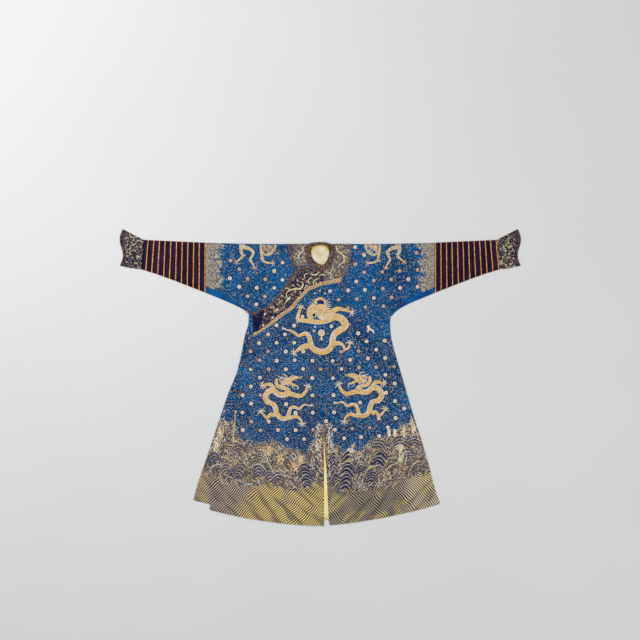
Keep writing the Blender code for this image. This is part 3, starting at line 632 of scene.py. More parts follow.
class Finish:
    """A procedural material and its nodes. Sizes are in millimetres, and colours as on a screen."""

    def __init__(self, name, roughness, metallic=0.0, sheen=0.0, specular=0.1):
        self.material = bpy.data.materials.new(name)
        self.material.use_nodes = True
        self.tree = self.material.node_tree
        self.shader = self.tree.nodes["Principled BSDF"]
        for socket, value in (
            ("Roughness", roughness),
            ("Metallic", metallic),
            ("Sheen Weight", sheen),
            ("Sheen Roughness", 0.4),
            ("Specular IOR Level", specular),
        ):
            self.shader.inputs[socket].default_value = value
        self.place = self.node("ShaderNodeTexCoord").outputs["Object"]

    def node(self, kind, inputs=(), **settings):
        made = self.tree.nodes.new(kind)
        for key, value in settings.items():
            setattr(made, key, value)
        for key, value in dict(inputs).items():
            if isinstance(value, bpy.types.NodeSocket):
                self.tree.links.new(value, made.inputs[key])
            else:
                made.inputs[key].default_value = value
        return made

    def calc(self, operation, *values):
        return self.node("ShaderNodeMath", dict(enumerate(values)), operation=operation).outputs[0]

    def times(self, first, second):
        return self.calc("MULTIPLY", first, second)

    def plus(self, first, second):
        return self.calc("ADD", first, second)

    def scaled(self, value, by, plus):
        return self.calc("MULTIPLY_ADD", value, by, plus)

    def vector(self, operation, first, second, key=1):
        return self.node("ShaderNodeVectorMath", {0: first, key: second}, operation=operation).outputs[0]

    def blend(self, share, *colours):
        first, second = (screen(*colour) if isinstance(colour, tuple) else colour for colour in colours)
        return self.node("ShaderNodeMix", {0: share, 6: first, 7: second}, data_type="RGBA").outputs[2]

    def step(self, value, low, high, bottom=0.0, top=1.0):
        inputs = {"Value": value, "From Min": low, "From Max": high, "To Min": bottom, "To Max": top}
        return self.node("ShaderNodeMapRange", inputs, interpolation_type="SMOOTHSTEP").outputs[0]

    def noise(self, size, detail=2.0, where=None):
        inputs = {"Vector": where or self.place, "Scale": 1000 / size, "Detail": detail, "Roughness": 0.5}
        return self.node("ShaderNodeTexNoise", inputs).outputs["Fac"]

    def uneven(self, size, detail, spread):
        """A noise about zero."""
        return self.scaled(self.noise(size, detail), spread, -spread / 2)

    def flecked(self, first, second, size, detail, low, high, most=1.0):
        """A colour, with the second one where a noise is high."""
        return self.blend(self.step(self.noise(size, detail), low, high, 0.0, most), first, second)

    def stretched(self, x, y):
        return self.vector("MULTIPLY", self.place, (x, y, 1.0))

    def value(self, name):
        return self.node("ShaderNodeAttribute", attribute_name=name).outputs["Fac"]

    def axes(self, vector=None):
        return self.node("ShaderNodeSeparateXYZ", {0: vector or self.place}).outputs[:3]

    def curls(self, cell, pitch, push, push_size, weight, grain):
        """Grainy lines that curl round scattered centres, with the place pushed about by a soft noise."""
        inputs = {"Vector": self.place, "Scale": 1000 / push_size, "Detail": 1.0}
        soft = self.node("ShaderNodeTexNoise", inputs).outputs["Color"]
        centred = self.vector("SUBTRACT", soft, (0.5, 0.5, 0.5))
        where = self.vector("ADD", self.place, self.vector("SCALE", centred, 2 * push * MM, "Scale"))
        inputs = {"Vector": where, "Scale": 1000 / cell}
        found = self.node("ShaderNodeTexVoronoi", inputs, voronoi_dimensions="2D").outputs
        x, y, _ = self.axes(self.vector("SUBTRACT", where, found["Position"]))
        turns = self.times(found["Distance"], cell / pitch * 2 * math.pi)
        return self.scaled(self.calc("SINE", self.plus(turns, self.calc("ARCTAN2", y, x))), weight, grain)

    def woven(self, pitch, weight, height):
        """A fine twill over a height."""
        x, y, _ = self.axes()
        slant = self.times(self.plus(x, self.times(y, 0.7)), 1000 / pitch * 2 * math.pi)
        return self.scaled(self.scaled(self.calc("SINE", slant), 0.5, 0.5), weight, height)

    def made(self, colour, height=None, depth=0.0):
        """The material, dyed a colour, with a bump of a depth in millimetres."""
        self.tree.links.new(colour, self.shader.inputs["Base Color"])
        if height:
            bump = self.node("ShaderNodeBump", {"Height": height, "Distance": depth * MM, "Strength": 1.0})
            self.tree.links.new(bump.outputs[0], self.shader.inputs["Normal"])
        return self.material


def robe_silk():
    """Blue silk worked all over in thread, with a wave border, slanting stripes and grey sleeve ends."""
    f = Finish("robe_silk", 0.55, sheen=0.02)
    x, y, _ = f.axes()
    grain, ragged = f.uneven(6.0, 1.0, 6.0), f.uneven(26, 2.0, 44.0)

    def zone(name, rough, edge, softness):
        return f.step(f.plus(f.value(name), f.scaled(grain, rough, edge)), -softness, softness)

    # Blue ground.
    high = f.step(y, 0.1, 0.42)
    blue = f.blend(f.step(f.scaled(high, 0.08, f.noise(150)), 0.35, 0.74), (0, 72, 118), (0, 98, 156))
    blue = f.flecked(blue, (2, 36, 66), 7, 1.0, 0.49, 0.62, 0.8)
    worked = f.calc("SUBTRACT", f.curls(15, 7.5, 3.0, 12, 0.5, grain), f.times(high, 0.2))
    line = f.step(worked, 0.58, 1.12)
    gold = f.flecked((212, 164, 104), (168, 184, 172), 11, 1.0, 0.47, 0.55)
    ground = f.blend(f.times(line, 0.9), blue, gold)

    # Wave border.
    sea_line = f.step(f.curls(34, 11.0, 7.0, 30, 0.6, grain), -0.25, 0.5)
    deep = f.flecked((56, 56, 76), (88, 76, 72), 30, 1.0, 0.42, 0.58)
    pale = f.flecked((184, 172, 156), (202, 162, 108), 9, 1.0, 0.48, 0.58)
    pale = f.flecked(pale, (212, 202, 182), 60, 2.0, 0.5, 0.66, 0.7)
    sea = f.flecked(f.blend(sea_line, deep, pale), (56, 54, 72), 70, 3.0, 0.5, 0.62, 0.5)
    sea = f.flecked(sea, ground, 24, 2.0, 0.6, 0.66, 0.8)

    # Slanting stripes, mirrored about the centre front, with bands of painted light and shade from soft
    # ripples across them.
    aside = f.calc("ABSOLUTE", f.calc("SUBTRACT", x, 0.014))
    across, down = f.plus(aside, y), f.calc("SUBTRACT", aside, y)
    bend = f.times(f.calc("SINE", f.times(down, 2 * math.pi / 0.075)), 0.002)
    drift = f.times(f.noise(120, 1.0), 0.05)
    phase = f.times(f.plus(f.plus(across, bend), drift), 2 * math.pi / (STRIPE_PITCH * MM * math.sqrt(2)))
    bar = f.step(f.calc("SINE", phase), -0.3, 0.3)
    # Painted light and shade of soft ripples: the light stripes dim in broad bands across them.
    bands = f.node("ShaderNodeCombineXYZ", {0: down, 1: f.times(across, 0.22)}).outputs[0]
    ripple_shading = f.step(f.noise(44, 2.0, bands), 0.32, 0.52, 0.34, 1.0)
    warm = f.times(f.step(f.scaled(y, -0.75, x), 0.02, 0.14), f.step(x, 0.0, 0.05, 1.0, 0.2))
    warm = f.calc("MAXIMUM", warm, f.step(x, -0.53, -0.56, 0.0, 0.6))
    warm = f.times(warm, f.step(f.noise(70, 1.0), 0.3, 0.5, 0.5, 1.0))
    patches = f.times(f.step(x, 0.02, 0.04, 0.0, 0.7), f.step(f.noise(80, 1.0), 0.5, 0.6))
    grey = f.blend(f.step(x, 0.0, 0.05), (198, 178, 160), (164, 150, 144))
    grey = f.blend(f.step(x, 0.38, 0.46), grey, (244, 222, 194))
    light = f.blend(f.calc("MAXIMUM", warm, patches), grey, (255, 226, 142))
    dark = f.blend(f.noise(60, 1.0), (4, 14, 36), (34, 36, 46))
    striped = f.blend(bar, dark, f.blend(ripple_shading, (122, 110, 104), light))

    # Grey waves at the sleeve ends.
    lap = f.step(f.curls(30, 11.0, 5.0, 20, 0.6, grain), -0.8, 0.8)
    near = f.step(f.value("end"), 52.0, 12.0)
    end = f.blend(lap, (116, 106, 94), (182, 172, 152))
    for size, low, high, colour in ((24, 0.47, 0.56, (82, 82, 112)), (12, 0.56, 0.64, (216, 204, 176))):
        end = f.blend(f.times(near, f.step(f.noise(size, 1.0), low, high, 0.0, 0.8)), end, colour)

    colour, height = ground, line
    for share, inside, relief in (
        (zone("sea", 14.0, ragged, 5.0), sea, sea_line),
        (zone("stripe", 5.0, ragged, 6.0), striped, bar),
        (zone("end", 18.0, f.times(ragged, 1.7), 5.0), end, lap),
    ):
        colour, height = f.blend(share, colour, inside), f.blend(share, height, relief)
    colour = f.flecked(colour, (24, 34, 52), 230, 2.0, 0.35, 0.7, 0.12)
    return f.made(colour, f.woven(1.1, 0.18, height), 0.28)


def plain_silk(name, first, second, roughness=0.42, size=60):
    f = Finish(name, roughness, sheen=0.03)
    slub = f.noise(2.2, 2.0, f.stretched(0.18, 1.0))
    colour = f.flecked(first, second, size, 2.0, 0.35, 0.65)
    colour = f.blend(f.times(slub, 0.35), colour, tuple(0.72 * part for part in first))
    return f.made(colour, f.woven(0.9, 0.5, slub), 0.16)


def ribbed_silk():
    """Dark plum silk with orange cords. The stored value counts ribs along the sleeve."""
    f = Finish("ribbed_silk", 0.46, sheen=0.02)
    wavy = f.plus(f.value("along"), f.uneven(34, 1.0, 0.10))
    from_rib = f.calc("ABSOLUTE", f.calc("SUBTRACT", wavy, f.calc("ROUND", wavy)))
    between = f.calc("SINE", f.times(wavy, 2 * math.pi * 3))
    streak = f.noise(9, 2.0, f.stretched(1.0, 0.10))
    plum = f.blend(f.step(streak, 0.4, 0.66), (14, 4, 30), (42, 24, 56))
    # Painted highlight: the plum lightens along the crest of each fine pleat between the cords.
    plum = f.blend(f.times(f.step(between, 0.5, 1.0), 0.3), plum, (96, 50, 76))
    orange = f.flecked((206, 124, 62), (250, 188, 112), 6, 2.0, 0.4, 0.6)
    twist = f.noise(1.6, 1.0, f.stretched(1.0, 0.5))
    colour = f.blend(f.step(from_rib, 0.088, 0.055), plum, orange)
    return f.made(colour, f.scaled(twist, 0.4, f.times(between, 0.25)), 0.25)


def brocade(name, dark, light, size, pitch, low, third, metallic=0.0, cuff=False):
    """Small curling clouds with flecks of a third colour. A cuff has a plain border at its mouth."""
    f = Finish(name, 0.5, metallic=metallic, sheen=0.02)
    line = f.step(f.curls(size, pitch, 3.0, 12, 0.6, f.uneven(5.5, 1.0, 6.0)), low, low + 0.7)
    base = f.flecked(dark, tuple(1.3 * part for part in dark), 26, 2.0, 0.42, 0.6)
    colour = f.blend(f.times(line, 0.85), base, light)
    colour = f.flecked(colour, third, 9, 1.0, 0.55, 0.62, 0.85)
    if not cuff:
        return f.made(colour, f.woven(1.1, 0.2, line), 0.25)
    border = f.step(f.value("along"), 0.76, 0.80)
    colour = f.blend(border, colour, f.flecked((40, 32, 44), (96, 82, 80), 7, 2.0, 0.4, 0.6))
    return f.made(colour, f.times(line, f.calc("SUBTRACT", 1.0, border)), 0.3)


def lining_silk(name, first, second, third):
    """Satin lining with faint streaks and a deeper colour towards its edges."""
    f = Finish(name, 0.36, sheen=0.03)
    x, y, _ = f.axes()
    streak = f.noise(7, 3.0, f.stretched(1.0, 0.25))
    colour = f.flecked(first, second, 36, 2.0, 0.36, 0.66)
    colour = f.blend(f.step(streak, 0.5, 0.75, 0.0, 0.5), colour, third)
    if name == "cream_lining":
        corner = f.scaled(f.calc("ABSOLUTE", x), 0.9, y)
        colour = f.blend(f.step(corner, 0.643, 0.655), colour, (222, 186, 64))
        # Painted shadow of a fold: a soft tan patch over the lower part of the neck lining.
        low = f.times(f.step(y, 0.574, 0.562), f.step(x, -0.01, 0.02))
        colour = f.blend(f.times(low, 0.35), colour, (190, 150, 96))
    else:
        colour = f.blend(f.step(x, 0.021, 0.019), colour, (242, 208, 122))
    return f.made(colour, f.woven(0.8, 0.3, streak), 0.2)


def thread_finish(name, first, second, metallic=0.0, scales=None):
    """Laid thread with fine ridges along it, and small overlapping scales where their colour is given."""
    f = Finish(name, 0.45, metallic=metallic)
    u, v, _ = f.axes(f.node("ShaderNodeUVMap", uv_map="thread").outputs[0])
    colour = f.flecked(first, second, 6, 1.0, 0.42, 0.58)
    height = f.scaled(f.calc("SINE", f.times(v, 2 * math.pi / 0.0011)), 0.3, 0.5)
    if scales:
        colour = f.flecked(colour, (236, 222, 196), 13, 2.0, 0.52, 0.64, 0.7)
        row = f.times(v, 1 / 0.0065)
        bulge = f.times(f.calc("ABSOLUTE", f.calc("SINE", f.times(row, math.pi))), 0.45)
        place = f.calc("FRACT", f.plus(f.times(u, 1 / 0.0072), bulge))
        colour = f.blend(f.times(f.step(place, 0.34, 0.02), 0.7), colour, scales)
        height = f.plus(height, f.times(place, 0.8))
    return f.made(colour, height, 0.22)


def gilt():
    f = Finish("gilt_brass", 0.28, metallic=1.0, specular=0.5)
    colour = f.flecked((206, 168, 98), (150, 112, 64), 3.0, 3.0, 0.45, 0.7)
    return f.made(colour, f.noise(1.4, 2.0), 0.12)


def pale_floor():
    f = Finish("floor_paper", 0.85, specular=0.2)
    return f.made(f.blend(f.noise(900, 2.0), (226, 225, 222), (233, 232, 229)))


THREAD_COLOURS = {
    # the darker and the lighter colour, the metallic share, and the colour between scales
    "gold": ((210, 168, 100), (242, 208, 142), 0.1, (140, 96, 64)),
    "antique": ((184, 164, 122), (214, 196, 156), 0.0, (130, 110, 88)),
    "pale": ((222, 198, 150), (240, 222, 182), 0.05),
    "line": ((236, 212, 168), (246, 230, 196)),
    "rim": ((224, 200, 166), (242, 224, 196)),
    "silver": ((212, 204, 206), (236, 230, 224)),
    "yellow": ((226, 196, 110), (242, 222, 150)),
    "straw": ((216, 200, 148), (236, 224, 180)),
    "fawn": ((176, 146, 114), (202, 174, 144)),
    "tan": ((204, 146, 104), (226, 178, 136)),
    "peach": ((218, 160, 124), (232, 186, 150)),
    "rust": ((160, 86, 52), (196, 118, 70)),
    "umber": ((86, 76, 74), (108, 96, 88)),
    "navy": ((34, 38, 72), (56, 58, 92)),
    "slate": ((70, 68, 88), (92, 86, 100)),
    # deep is also the painted shadow laid round raised stitching.
    "deep": ((2, 44, 96), (6, 58, 116)),
    "grey": ((142, 132, 124), (176, 166, 152)),
}
THREADS = {name: thread_finish(f"thread_{name}", *parts) for name, parts in THREAD_COLOURS.items()}


def rib_stations(side):
    """Sections along a sleeve extension: share, height over the plain silk, and the place in ribs."""
    length = EXTENSION[-1][0] - EXTENSION[0][0]
    rib, ends = RIB_WIDTH / 2 / length, SEAM / 2 / length
    count, reach = RIBS[side]
    first, last = ends + 1.1 * rib, reach - ends - 1.1 * rib
    gap = (last - first) / (count - 1)
    places = [(ends, 0.0), (1 - ends, 0.0)]
    for middle in (first + gap * index for index in range(count)):
        places += [(middle + share * rib, raised * RIB_HEIGHT) for share, raised in RIB_PROFILE]
    places += [(first + gap * index + gap / 2, 0.12) for index in range(count - 1)]
    return [(share, raised, (share - first) / gap) for share, raised in sorted(places)]


def add_cloth():
    silk = robe_silk()
    blue = plain_silk("plain_blue_silk", (0, 76, 134), (6, 98, 162))
    left_edge = CENTRE_FRONT[:-1] + LEFT_NECK
    left = body("left_body_cloth", LEFT_SIDE, left_edge, main_top, silk)
    declare(left, "left_body")
    right = body("right_body_cloth", RIGHT_SIDE, INNER_FRONT, inner_top, silk)
    declare(right, "right_body")
    over = overlap(silk)
    declare(over, "overlap_front")
    for name, table, edge, sign, flat in (
        ("gusset_left", LEFT_GUSSET, LEFT_SIDE, 1, (0.065, 0.252)),
        ("gusset_right", RIGHT_GUSSET, RIGHT_SIDE, -1, (0.073, 0.243)),
    ):
        declare(underarm(f"{name}_cloth", table, edge, sign, blue), name)
    ribbed = ribbed_silk()
    waves = brocade("cuff_brocade", (30, 28, 46), (136, 122, 108), 17, 8.0, 0.26, (200, 186, 152), cuff=True)
    start = SEAM / 2 / 100
    cuff_stations = [(share, 0.0, share) for share in start + (1 - start) * np.arange(17) / 16]
    for side, sign in (("left", 1), ("right", -1)):
        def extension_waves(x, y, sign=sign):
            cross = np.exp(-(((x * sign - 700) * 0.6 + (y - 560) * 0.8) / 14) ** 2) * 0.7
            return cross + 0.25 * np.sin(y / 21 + x / 47)

        def cuff_waves(x, y, sign=sign):
            return 0.35 * np.sin(y / 17 + 1.3) + 0.3 * np.sin((x * sign + y) / 26)

        name = f"sleeve_extension_{side}"
        piece = tube(f"{name}_cloth", EXTENSION, sign, rib_stations(side), ribbed, extension_waves)
        declare(piece, name)
        name = f"cuff_{side}"
        piece = tube(f"{name}_cloth", CUFF, sign, cuff_stations, waves, cuff_waves, MOUTH_WAVE)
        declare(piece, name)


def ruled(table, columns, rows=None):
    """A plan grid on a table of inner and outer points, smooth along its length."""
    places = np.linspace(0, len(table) - 1, rows or 5 * len(table))
    inner_x, inner_y, outer_x, outer_y = (curve(list(enumerate(line)), places) for line in zip(*table))
    share = edged(columns, np.maximum(np.hypot(outer_x - inner_x, outer_y - inner_y), 4), TRIM_BORDER)
    return spanned(inner_x, outer_x, share), spanned(inner_y, outer_y, share)


def over_shoulder(x, y):
    """Adds the rows that carry a facing up to the crest of the shoulder fold."""
    radius, axis = shoulder_fold(x[0])
    rows = [axis + radius * np.pi / 2 * turn for turn in (0.97, 0.9, 0.7, 0.5, 0.25, 0)]
    return np.concatenate([np.repeat(x[:1], 6, axis=0), x]), np.concatenate([rows, y])


def strip(start, end, first, last, columns, rows):
    """A strip of the diagonal band. Each side is a distance past its upper edge (0) or its lower one (1)."""
    table = []
    for upper, lower in np.array(DIAGONAL[first : last + 1], float).reshape(-1, 2, 2):
        across = (lower - upper) / np.hypot(*(lower - upper))
        table.append(np.concatenate([(upper, lower)[edge] + across * past for edge, past in (start, end)]))
    return ruled(table, columns, rows)


def add_trims():
    """Facings, bindings and edgings, sewn on the fronts."""
    brown = brocade("collar_brocade", (54, 52, 64), (150, 140, 128), 15, 8.0, -0.15, (154, 134, 110))
    dark = brocade("band_brocade", (26, 20, 44), (108, 96, 104), 15, 8.0, 0.3, (146, 128, 110))
    rust = brocade("rust_binding", (60, 50, 58), (136, 118, 104), 12, 9.0, 0.1, (156, 108, 74))
    gold = brocade("gold_brocade", (112, 96, 84), (228, 204, 156), 11, 8.0, -0.5, (206, 146, 92), 0.1)
    navy = plain_silk("navy_silk", (18, 22, 56), (36, 38, 80), 0.46, 40)
    left, right = over_shoulder(*ruled(LEFT_YOKE, 14)), over_shoulder(*ruled(RIGHT_YOKE, 12))
    shoulder = over_shoulder(*ruled(SHOULDER_BINDING, 6))
    first, last = np.array(YOKE_EDGING)
    rungs = first + (last - first) * edged(14, np.array([96.0]), TRIM_BORDER)[0][:, None]
    down = np.array([1, 0.94, 0.65, 0.35, 0.06, 0])[:, None]
    low_edging = [rungs[:, axis] + (rungs[:, 2 + axis] - rungs[:, axis]) * down for axis in (0, 1)]
    binding = strip((0, 0), (0, EDGE_BINDING), 0, 11, 6, 60)
    edging = strip((1, -BROCADE), (1, 0), 0, 11, 7, 60)
    between = (0, EDGE_BINDING + SEAM), (1, -BROCADE - SEAM)
    band = strip(*between, 0, BAND_ROWS, 14, 60)
    end_x, end_y = strip(*between, BAND_ROWS, 11, 8, 14)
    end = end_x - END_SEAM[0], end_y - END_SEAM[1]
    for name, (x, y), surface, material, slot, flat, rests in (
        ("yoke_left", left, on_main, brown, "collar_brocade", (0.09, 0.272), "left_body"),
        ("yoke_right", right, on_inner, brown, "collar_brocade", (0.073, 0.115), "right_body"),
        ("shoulder_binding", shoulder, on_inner, rust, "rust_binding", (0.015, 0.121), "right_body"),
        ("yoke_edging", low_edging, on_main, gold, "gold_brocade", (0.025, 0.097), "left_body"),
        ("edge_binding", binding, on_main, rust, "rust_binding", (0.017, 0.444), "overlap"),
        ("band_edging", edging, on_main, gold, "gold_brocade", (0.018, 0.427), "overlap"),
        ("diagonal_band", band, on_main, dark, "collar_brocade", (0.11, 0.402), "overlap"),
        ("band_end", end, on_main, navy, "navy_silk", (0.11, 0.069), "overlap"),
    ):
        piece = shell(f"{name}_cloth", x, y, surface, material, wall=TRIM)
        declare(piece, name)


def add_linings():
    def flat_lining(x, y):
        return 2.5 + 0.10 * np.sin(x / 11) * np.sin(y / 15)

    def under_neck(x, y, lift, surface):
        return joined(x, y, surface(x, y) + lift)

    cream = "cream_lining", (220, 204, 172), (236, 224, 196), (200, 180, 142)
    yellow = "yellow_lining", (255, 232, 152), (255, 246, 192), (244, 206, 120)
    for name, table, columns, colours, flat in (
        ("neck_lining", NECK_LINING, 12, cream, (0.118, 0.114)),
        ("slit_lining", SLIT_LINING, 6, yellow, (0.062, 0.465)),
    ):
        x, y = ruled([(right, y, left, y) for y, right, left in table], columns)
        silk = lining_silk(*colours)
        piece = shell(f"{name}_cloth", x, y, flat_lining, silk, wall=TRIM, place=under_neck)
        declare(piece, name)


def add_neck_binding():
    """A rounded, padded binding round the neck opening."""
    knots = np.array(NECK, float)
    around = [np.roll(knots, step, axis=0) for step in (1, 0, -1, -2)]
    path = np.concatenate([through(*stretch, np.arange(6)[:, None] / 6) for stretch in zip(*around)])
    along = np.roll(path, -1, axis=0) - np.roll(path, 1, axis=0)
    away = joined(-along[:, 1], along[:, 0]) / np.hypot(*along.T)[:, None]
    front_width, back_width = BINDING_WIDTH
    width = front_width + (back_width - front_width) * eased(path[:, 1], *BINDING_NARROWS)
    low_front, low_back = rise(0) + CLOTH + SEAM, rise(0)
    crown = low_front + BINDING_WALL
    rings = []
    for share, height in (
        # shares of the binding's width and height, round its section
        (0.03, 0.1), (0.0, 0.35), (0.0, 0.62), (0.05, 0.85), (0.18, 1.0), (0.5, 1.06), (0.82, 1.0),
        (0.95, 0.85), (1.0, 0.62), (1.0, 0.35), (0.97, 0.1), (0.9, 0.0), (0.5, 0.0), (0.1, 0.0),
    ):
        place = path + away * (width * share)[:, None]
        behind = (1 - eased(np.abs(place[:, 0]), 18, 32)) * eased(place[:, 1], 620, 636)
        floor = low_front + (low_back - low_front) * behind
        rings.append(np.column_stack([place, floor + (crown - floor) * height]))
    count = len(rings) * len(path)
    faces = grid_faces(len(rings) + 1, len(path), around=True)[:, ::-1] % count
    material = brocade("neck_binding", (52, 42, 48), (120, 106, 96), 12, 9.0, 0.1, (138, 108, 84))
    piece = make_piece("neck_binding_cloth", rings, faces, [material])
    declare(piece, "neck_binding")


def add_buttons():
    """Gilt balls with a seam and a few raised petals."""
    finish = gilt()
    rows, columns = 18, 32
    down, across = np.linspace(0.02, np.pi - 0.02, rows)[:, None], circle(columns)
    petals = 0.035 * np.maximum(0, np.cos(6 * across)) * np.sin(down) ** 2
    share = 0.96 + petals - 0.06 * np.exp(-(((down - np.pi / 2) / 0.09) ** 2))
    around = np.sin(down)
    ball = share[..., None] * joined(around * np.cos(across), around * np.sin(across), np.cos(down))
    faces = grid_faces(rows, columns, around=True)[:, ::-1]
    for name in (f"button_{place}" for place in BUTTONS):
        low, high = np.array(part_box(name)) / MM
        points = (low + high) / 2 + (high - low)[0] / 2 * ball
        piece = make_piece(f"{name}_ball", points, faces, [finish])
        declare(piece, name)


def claw(stitch, x, y, heading, size, thread):
    """Five toes fanned out from a paw."""
    stitch.dot(x, y, 6.5 * size, "gold", 0.9, 12)
    for spread in (-80, -40, 0, 40, 80):
        knee = polar(x, y, heading + stitch.flip * spread, 13 * size)
        tip = polar(x, y, heading + stitch.flip * spread * 1.25, 22 * size)
        stitch.ribbon([(x, y), knee, tip], [4.6 * size, 4.2 * size, 2.4 * size], thread, 0.7, across=3)


def tuft(stitch, x, y, heading, length, threads=("tan", "silver"), spreads=(-26, 0, 26)):
    """A few locks of thread that leave one point."""
    for index, spread in enumerate(spreads):
        bend = polar(x, y, heading + stitch.flip * spread * 0.5, 0.55 * length)
        tip = polar(x, y, heading + stitch.flip * spread, length)
        stitch.hair([(x, y), bend, tip], [4.5, 4, 1], threads[index % len(threads)], 0.7)


def limb(stitch, points, widths, shadow=7, lift=0.14, height=0.95):
    """A gold ribbon over a wider dark blue one, which is a painted shadow round it."""
    stitch.ribbon(points, [width + shadow for width in widths], "deep", lift, cover=False)
    stitch.ribbon(points, widths, "gold", height)


def spine(stitch, points, widths, crossing):
    """A scaled body, with a silver edge that changes sides where the body turns over."""
    limb(stitch, points, widths, 8, 0.16, 1.1)
    path, places = smooth_path(points, 6)
    shares = places / places[-1]
    side = stitch.flip * (1 - 2 * eased(shares, crossing - 0.022, crossing + 0.022))
    width = np.interp(shares, np.linspace(0, 1, len(widths)), widths)
    edge = path + beside(path) * (width * 0.44 * side)[:, None]
    stitch.hair(edge, [5.4, 5.4, 5.4, 2.6], "silver", 1.4)


def limbs(stitch, rows, paw=1.0, nails="line"):
    """Legs with a tuft at the elbow and a claw at the end."""
    for widths, points, heading in rows:
        limb(stitch, points, widths)
        elbow = points[len(points) // 2]
        tuft(stitch, *elbow, heading + stitch.flip * 150, 17, ("tan", "line"), (-18, 18))
        claw(stitch, *points[-1], heading, paw, nails)


CHEST_BODY = (
    (30, 44), (66, 48), (98, 42), (118, 20), (116, -1), (94, -17), (71, -34), (61, -60), (58, -87),
    (40, -112), (8, -122), (-26, -112), (-44, -94), (-50, -68), (-56, -44), (-71, -32), (-89, -38),
    (-106, -43), (-124, -30), (-146, -18), (-171, -14),
)
CHEST_WIDTHS = (24, 32, 36, 37, 36, 33, 31, 30, 30, 31, 32, 31, 29, 25, 21, 17, 14, 12, 5)
CHEST_LIMBS = (
    # widths, points, heading of the claw
    ((24, 20, 17, 14), ((-92, 36), (-110, 38), (-105, 64), (-95, 92)), 85),
    ((30, 30, 24, 17, 11), ((34, 50), (58, 72), (84, 88), (116, 84), (150, 72)), -20),
    ((28, 24, 18, 15, 13, 12), ((56, -86), (84, -78), (108, -86), (120, -108), (138, -100), (143, -80)),
     80),
    ((34, 25, 13), ((-52, -92), (-86, -97), (-123, -123)), 205),
)
WALKING_BODY = (
    (9, 38), (-10, 17), (-40, 18), (-66, 38), (-91, 32), (-107, 6), (-95, -19), (-66, -31), (-54, -52),
    (-48, -78), (-24, -99), (1, -94), (10, -65), (19, -46), (39, -44), (60, -51), (82, -32), (111, -38),
)
WALKING_WIDTHS = (24, 27, 28, 28, 28, 28, 27, 26, 26, 26, 24, 22, 19, 17, 15, 13, 10, 5)
WALKING_LIMBS = (
    ((28, 27, 24, 19, 15), ((-26, 17), (14, 20), (62, 9), (88, 27), (99, 52)), 60),
    ((22, 20, 12), ((-58, 42), (-84, 66), (-116, 61)), 180),
    ((24, 20, 17, 13, 11), ((-58, -89), (-79, -79), (-96, -98), (-112, -84), (-124, -69)), 110),
    ((24, 22, 18, 15, 11), ((-6, -97), (18, -96), (44, -90), (64, -103), (73, -122)), 270),
)
SHOULDER_BODY = ((44, -8), (52, 24), (36, 62), (-4, 78), (-44, 62), (-52, 26), (-45, -6))
SHOULDER_LIMBS = (
    ((26, 25, 19, 16, 15, 13, 8), ((42, 14), (42, -12), (14, -22), (-7, -38), (-4, -56), (6, -76),
     (-8, -100), (-14, -112)), 255),
    ((24, 21, 17, 13, 9), ((48, 6), (51, -20), (50, -40), (42, -58), (60, -76), (72, -86)), -45),
    ((13, 14, 16, 15, 13, 10), ((-45, 10), (-45, -20), (-49, -50), (-54, -78), (-72, -90), (-100, -92)),
     180),
)
SHOULDER_CURLS = (
    ("gold", 0.9, (7, 11, 15, 14, 9), ((-118, 2), (-110, -24), (-94, -44), (-72, -53), (-52, -42))),
    ("tan", 0.8, (4, 6, 5, 2), ((-100, -6), (-88, -20), (-74, -18), (-66, -30))),
    ("pale", 0.8, (3, 5, 2), ((-70, -6), (-84, -10), (-92, -24))),
    ("tan", 0.8, (3, 5, 2), ((-112, -48), (-124, -42), (-136, -52))),
    ("pale", 0.8, (3, 5, 2), ((-60, -6), (-62, -22), (-72, -32))),
)
FACE = (
    # thread, height, widths, points, all mirrored but the middle ones
    ("gold", 1.9, (4, 6, 4), ((-4, 11), (-17, 17), (-31, 10))),
    ("rust", 1.7, (3, 4, 2), ((-8, 5), (-19, 8), (-30, 2))),
    ("navy", 1.7, (3, 4, 3), ((-26, -14), (-14, -19), (0, -18))),
    ("silver", 1.4, (4, 4, 2), ((-26, -14), (-46, -28), (-62, -18))),
    ("silver", 1.3, (6, 7, 3), ((-16, -20), (-26, -32), (-24, -44))),
    ("silver", 1.3, (7, 8, 4), ((-4, -22), (-8, -36), (-4, -50))),
    ("gold", 1.6, (4, 5, 3), ((-36, -12), (-42, -2), (-34, 6))),
)
SIDE_HEAD = (
    ("gold", 1.2, (11, 15, 17, 17, 18, 20), ((-50, 97), (-53, 72), (-40, 54), (-18, 47), (4, 42),
     (12, 26))),
    ("pale", 1.5, (3, 5, 5, 4), ((-46, 92), (-46, 72), (-34, 58), (-6, 53))),
    ("silver", 1.0, (5, 6, 2), ((0, 96), (-28, 99), (-46, 106))),
    ("tan", 1.0, (4, 5, 2), ((0, 90), (-24, 90), (-40, 93))),
    ("silver", 1.0, (5, 6, 2), ((0, 82), (-22, 78), (-38, 80))),
    ("pale", 1.1, (5, 6, 2), ((-4, 74), (-18, 66), (-32, 68))),
    ("gold", 1.2, (14, 13, 7), ((8, 72), (30, 64), (50, 55))),
    ("gold", 1.4, (26, 26, 20, 17, 12), ((-4, 80), (14, 87), (34, 95), (50, 99), (63, 98))),
    ("pale", 1.7, (4, 6, 3), ((8, 98), (24, 106), (42, 106))),
    ("slate", 1.8, (2, 3, 2), ((20, 76), (36, 80), (52, 90))),
    ("tan", 1.8, (3, 4, 2), ((22, 84), (36, 88), (52, 96))),
    ("gold", 1.3, (8, 7, 3), ((2, 100), (-12, 112), (-26, 113))),
    ("gold", 1.2, (8, 6, 3), ((60, 98), (68, 102), (70, 92))),
    ("pale", 1.2, (5, 6, 3), ((46, 62), (54, 50), (48, 40))),
    ("silver", 1.1, (4, 4, 1), ((24, 62), (28, 50), (40, 44))),
)


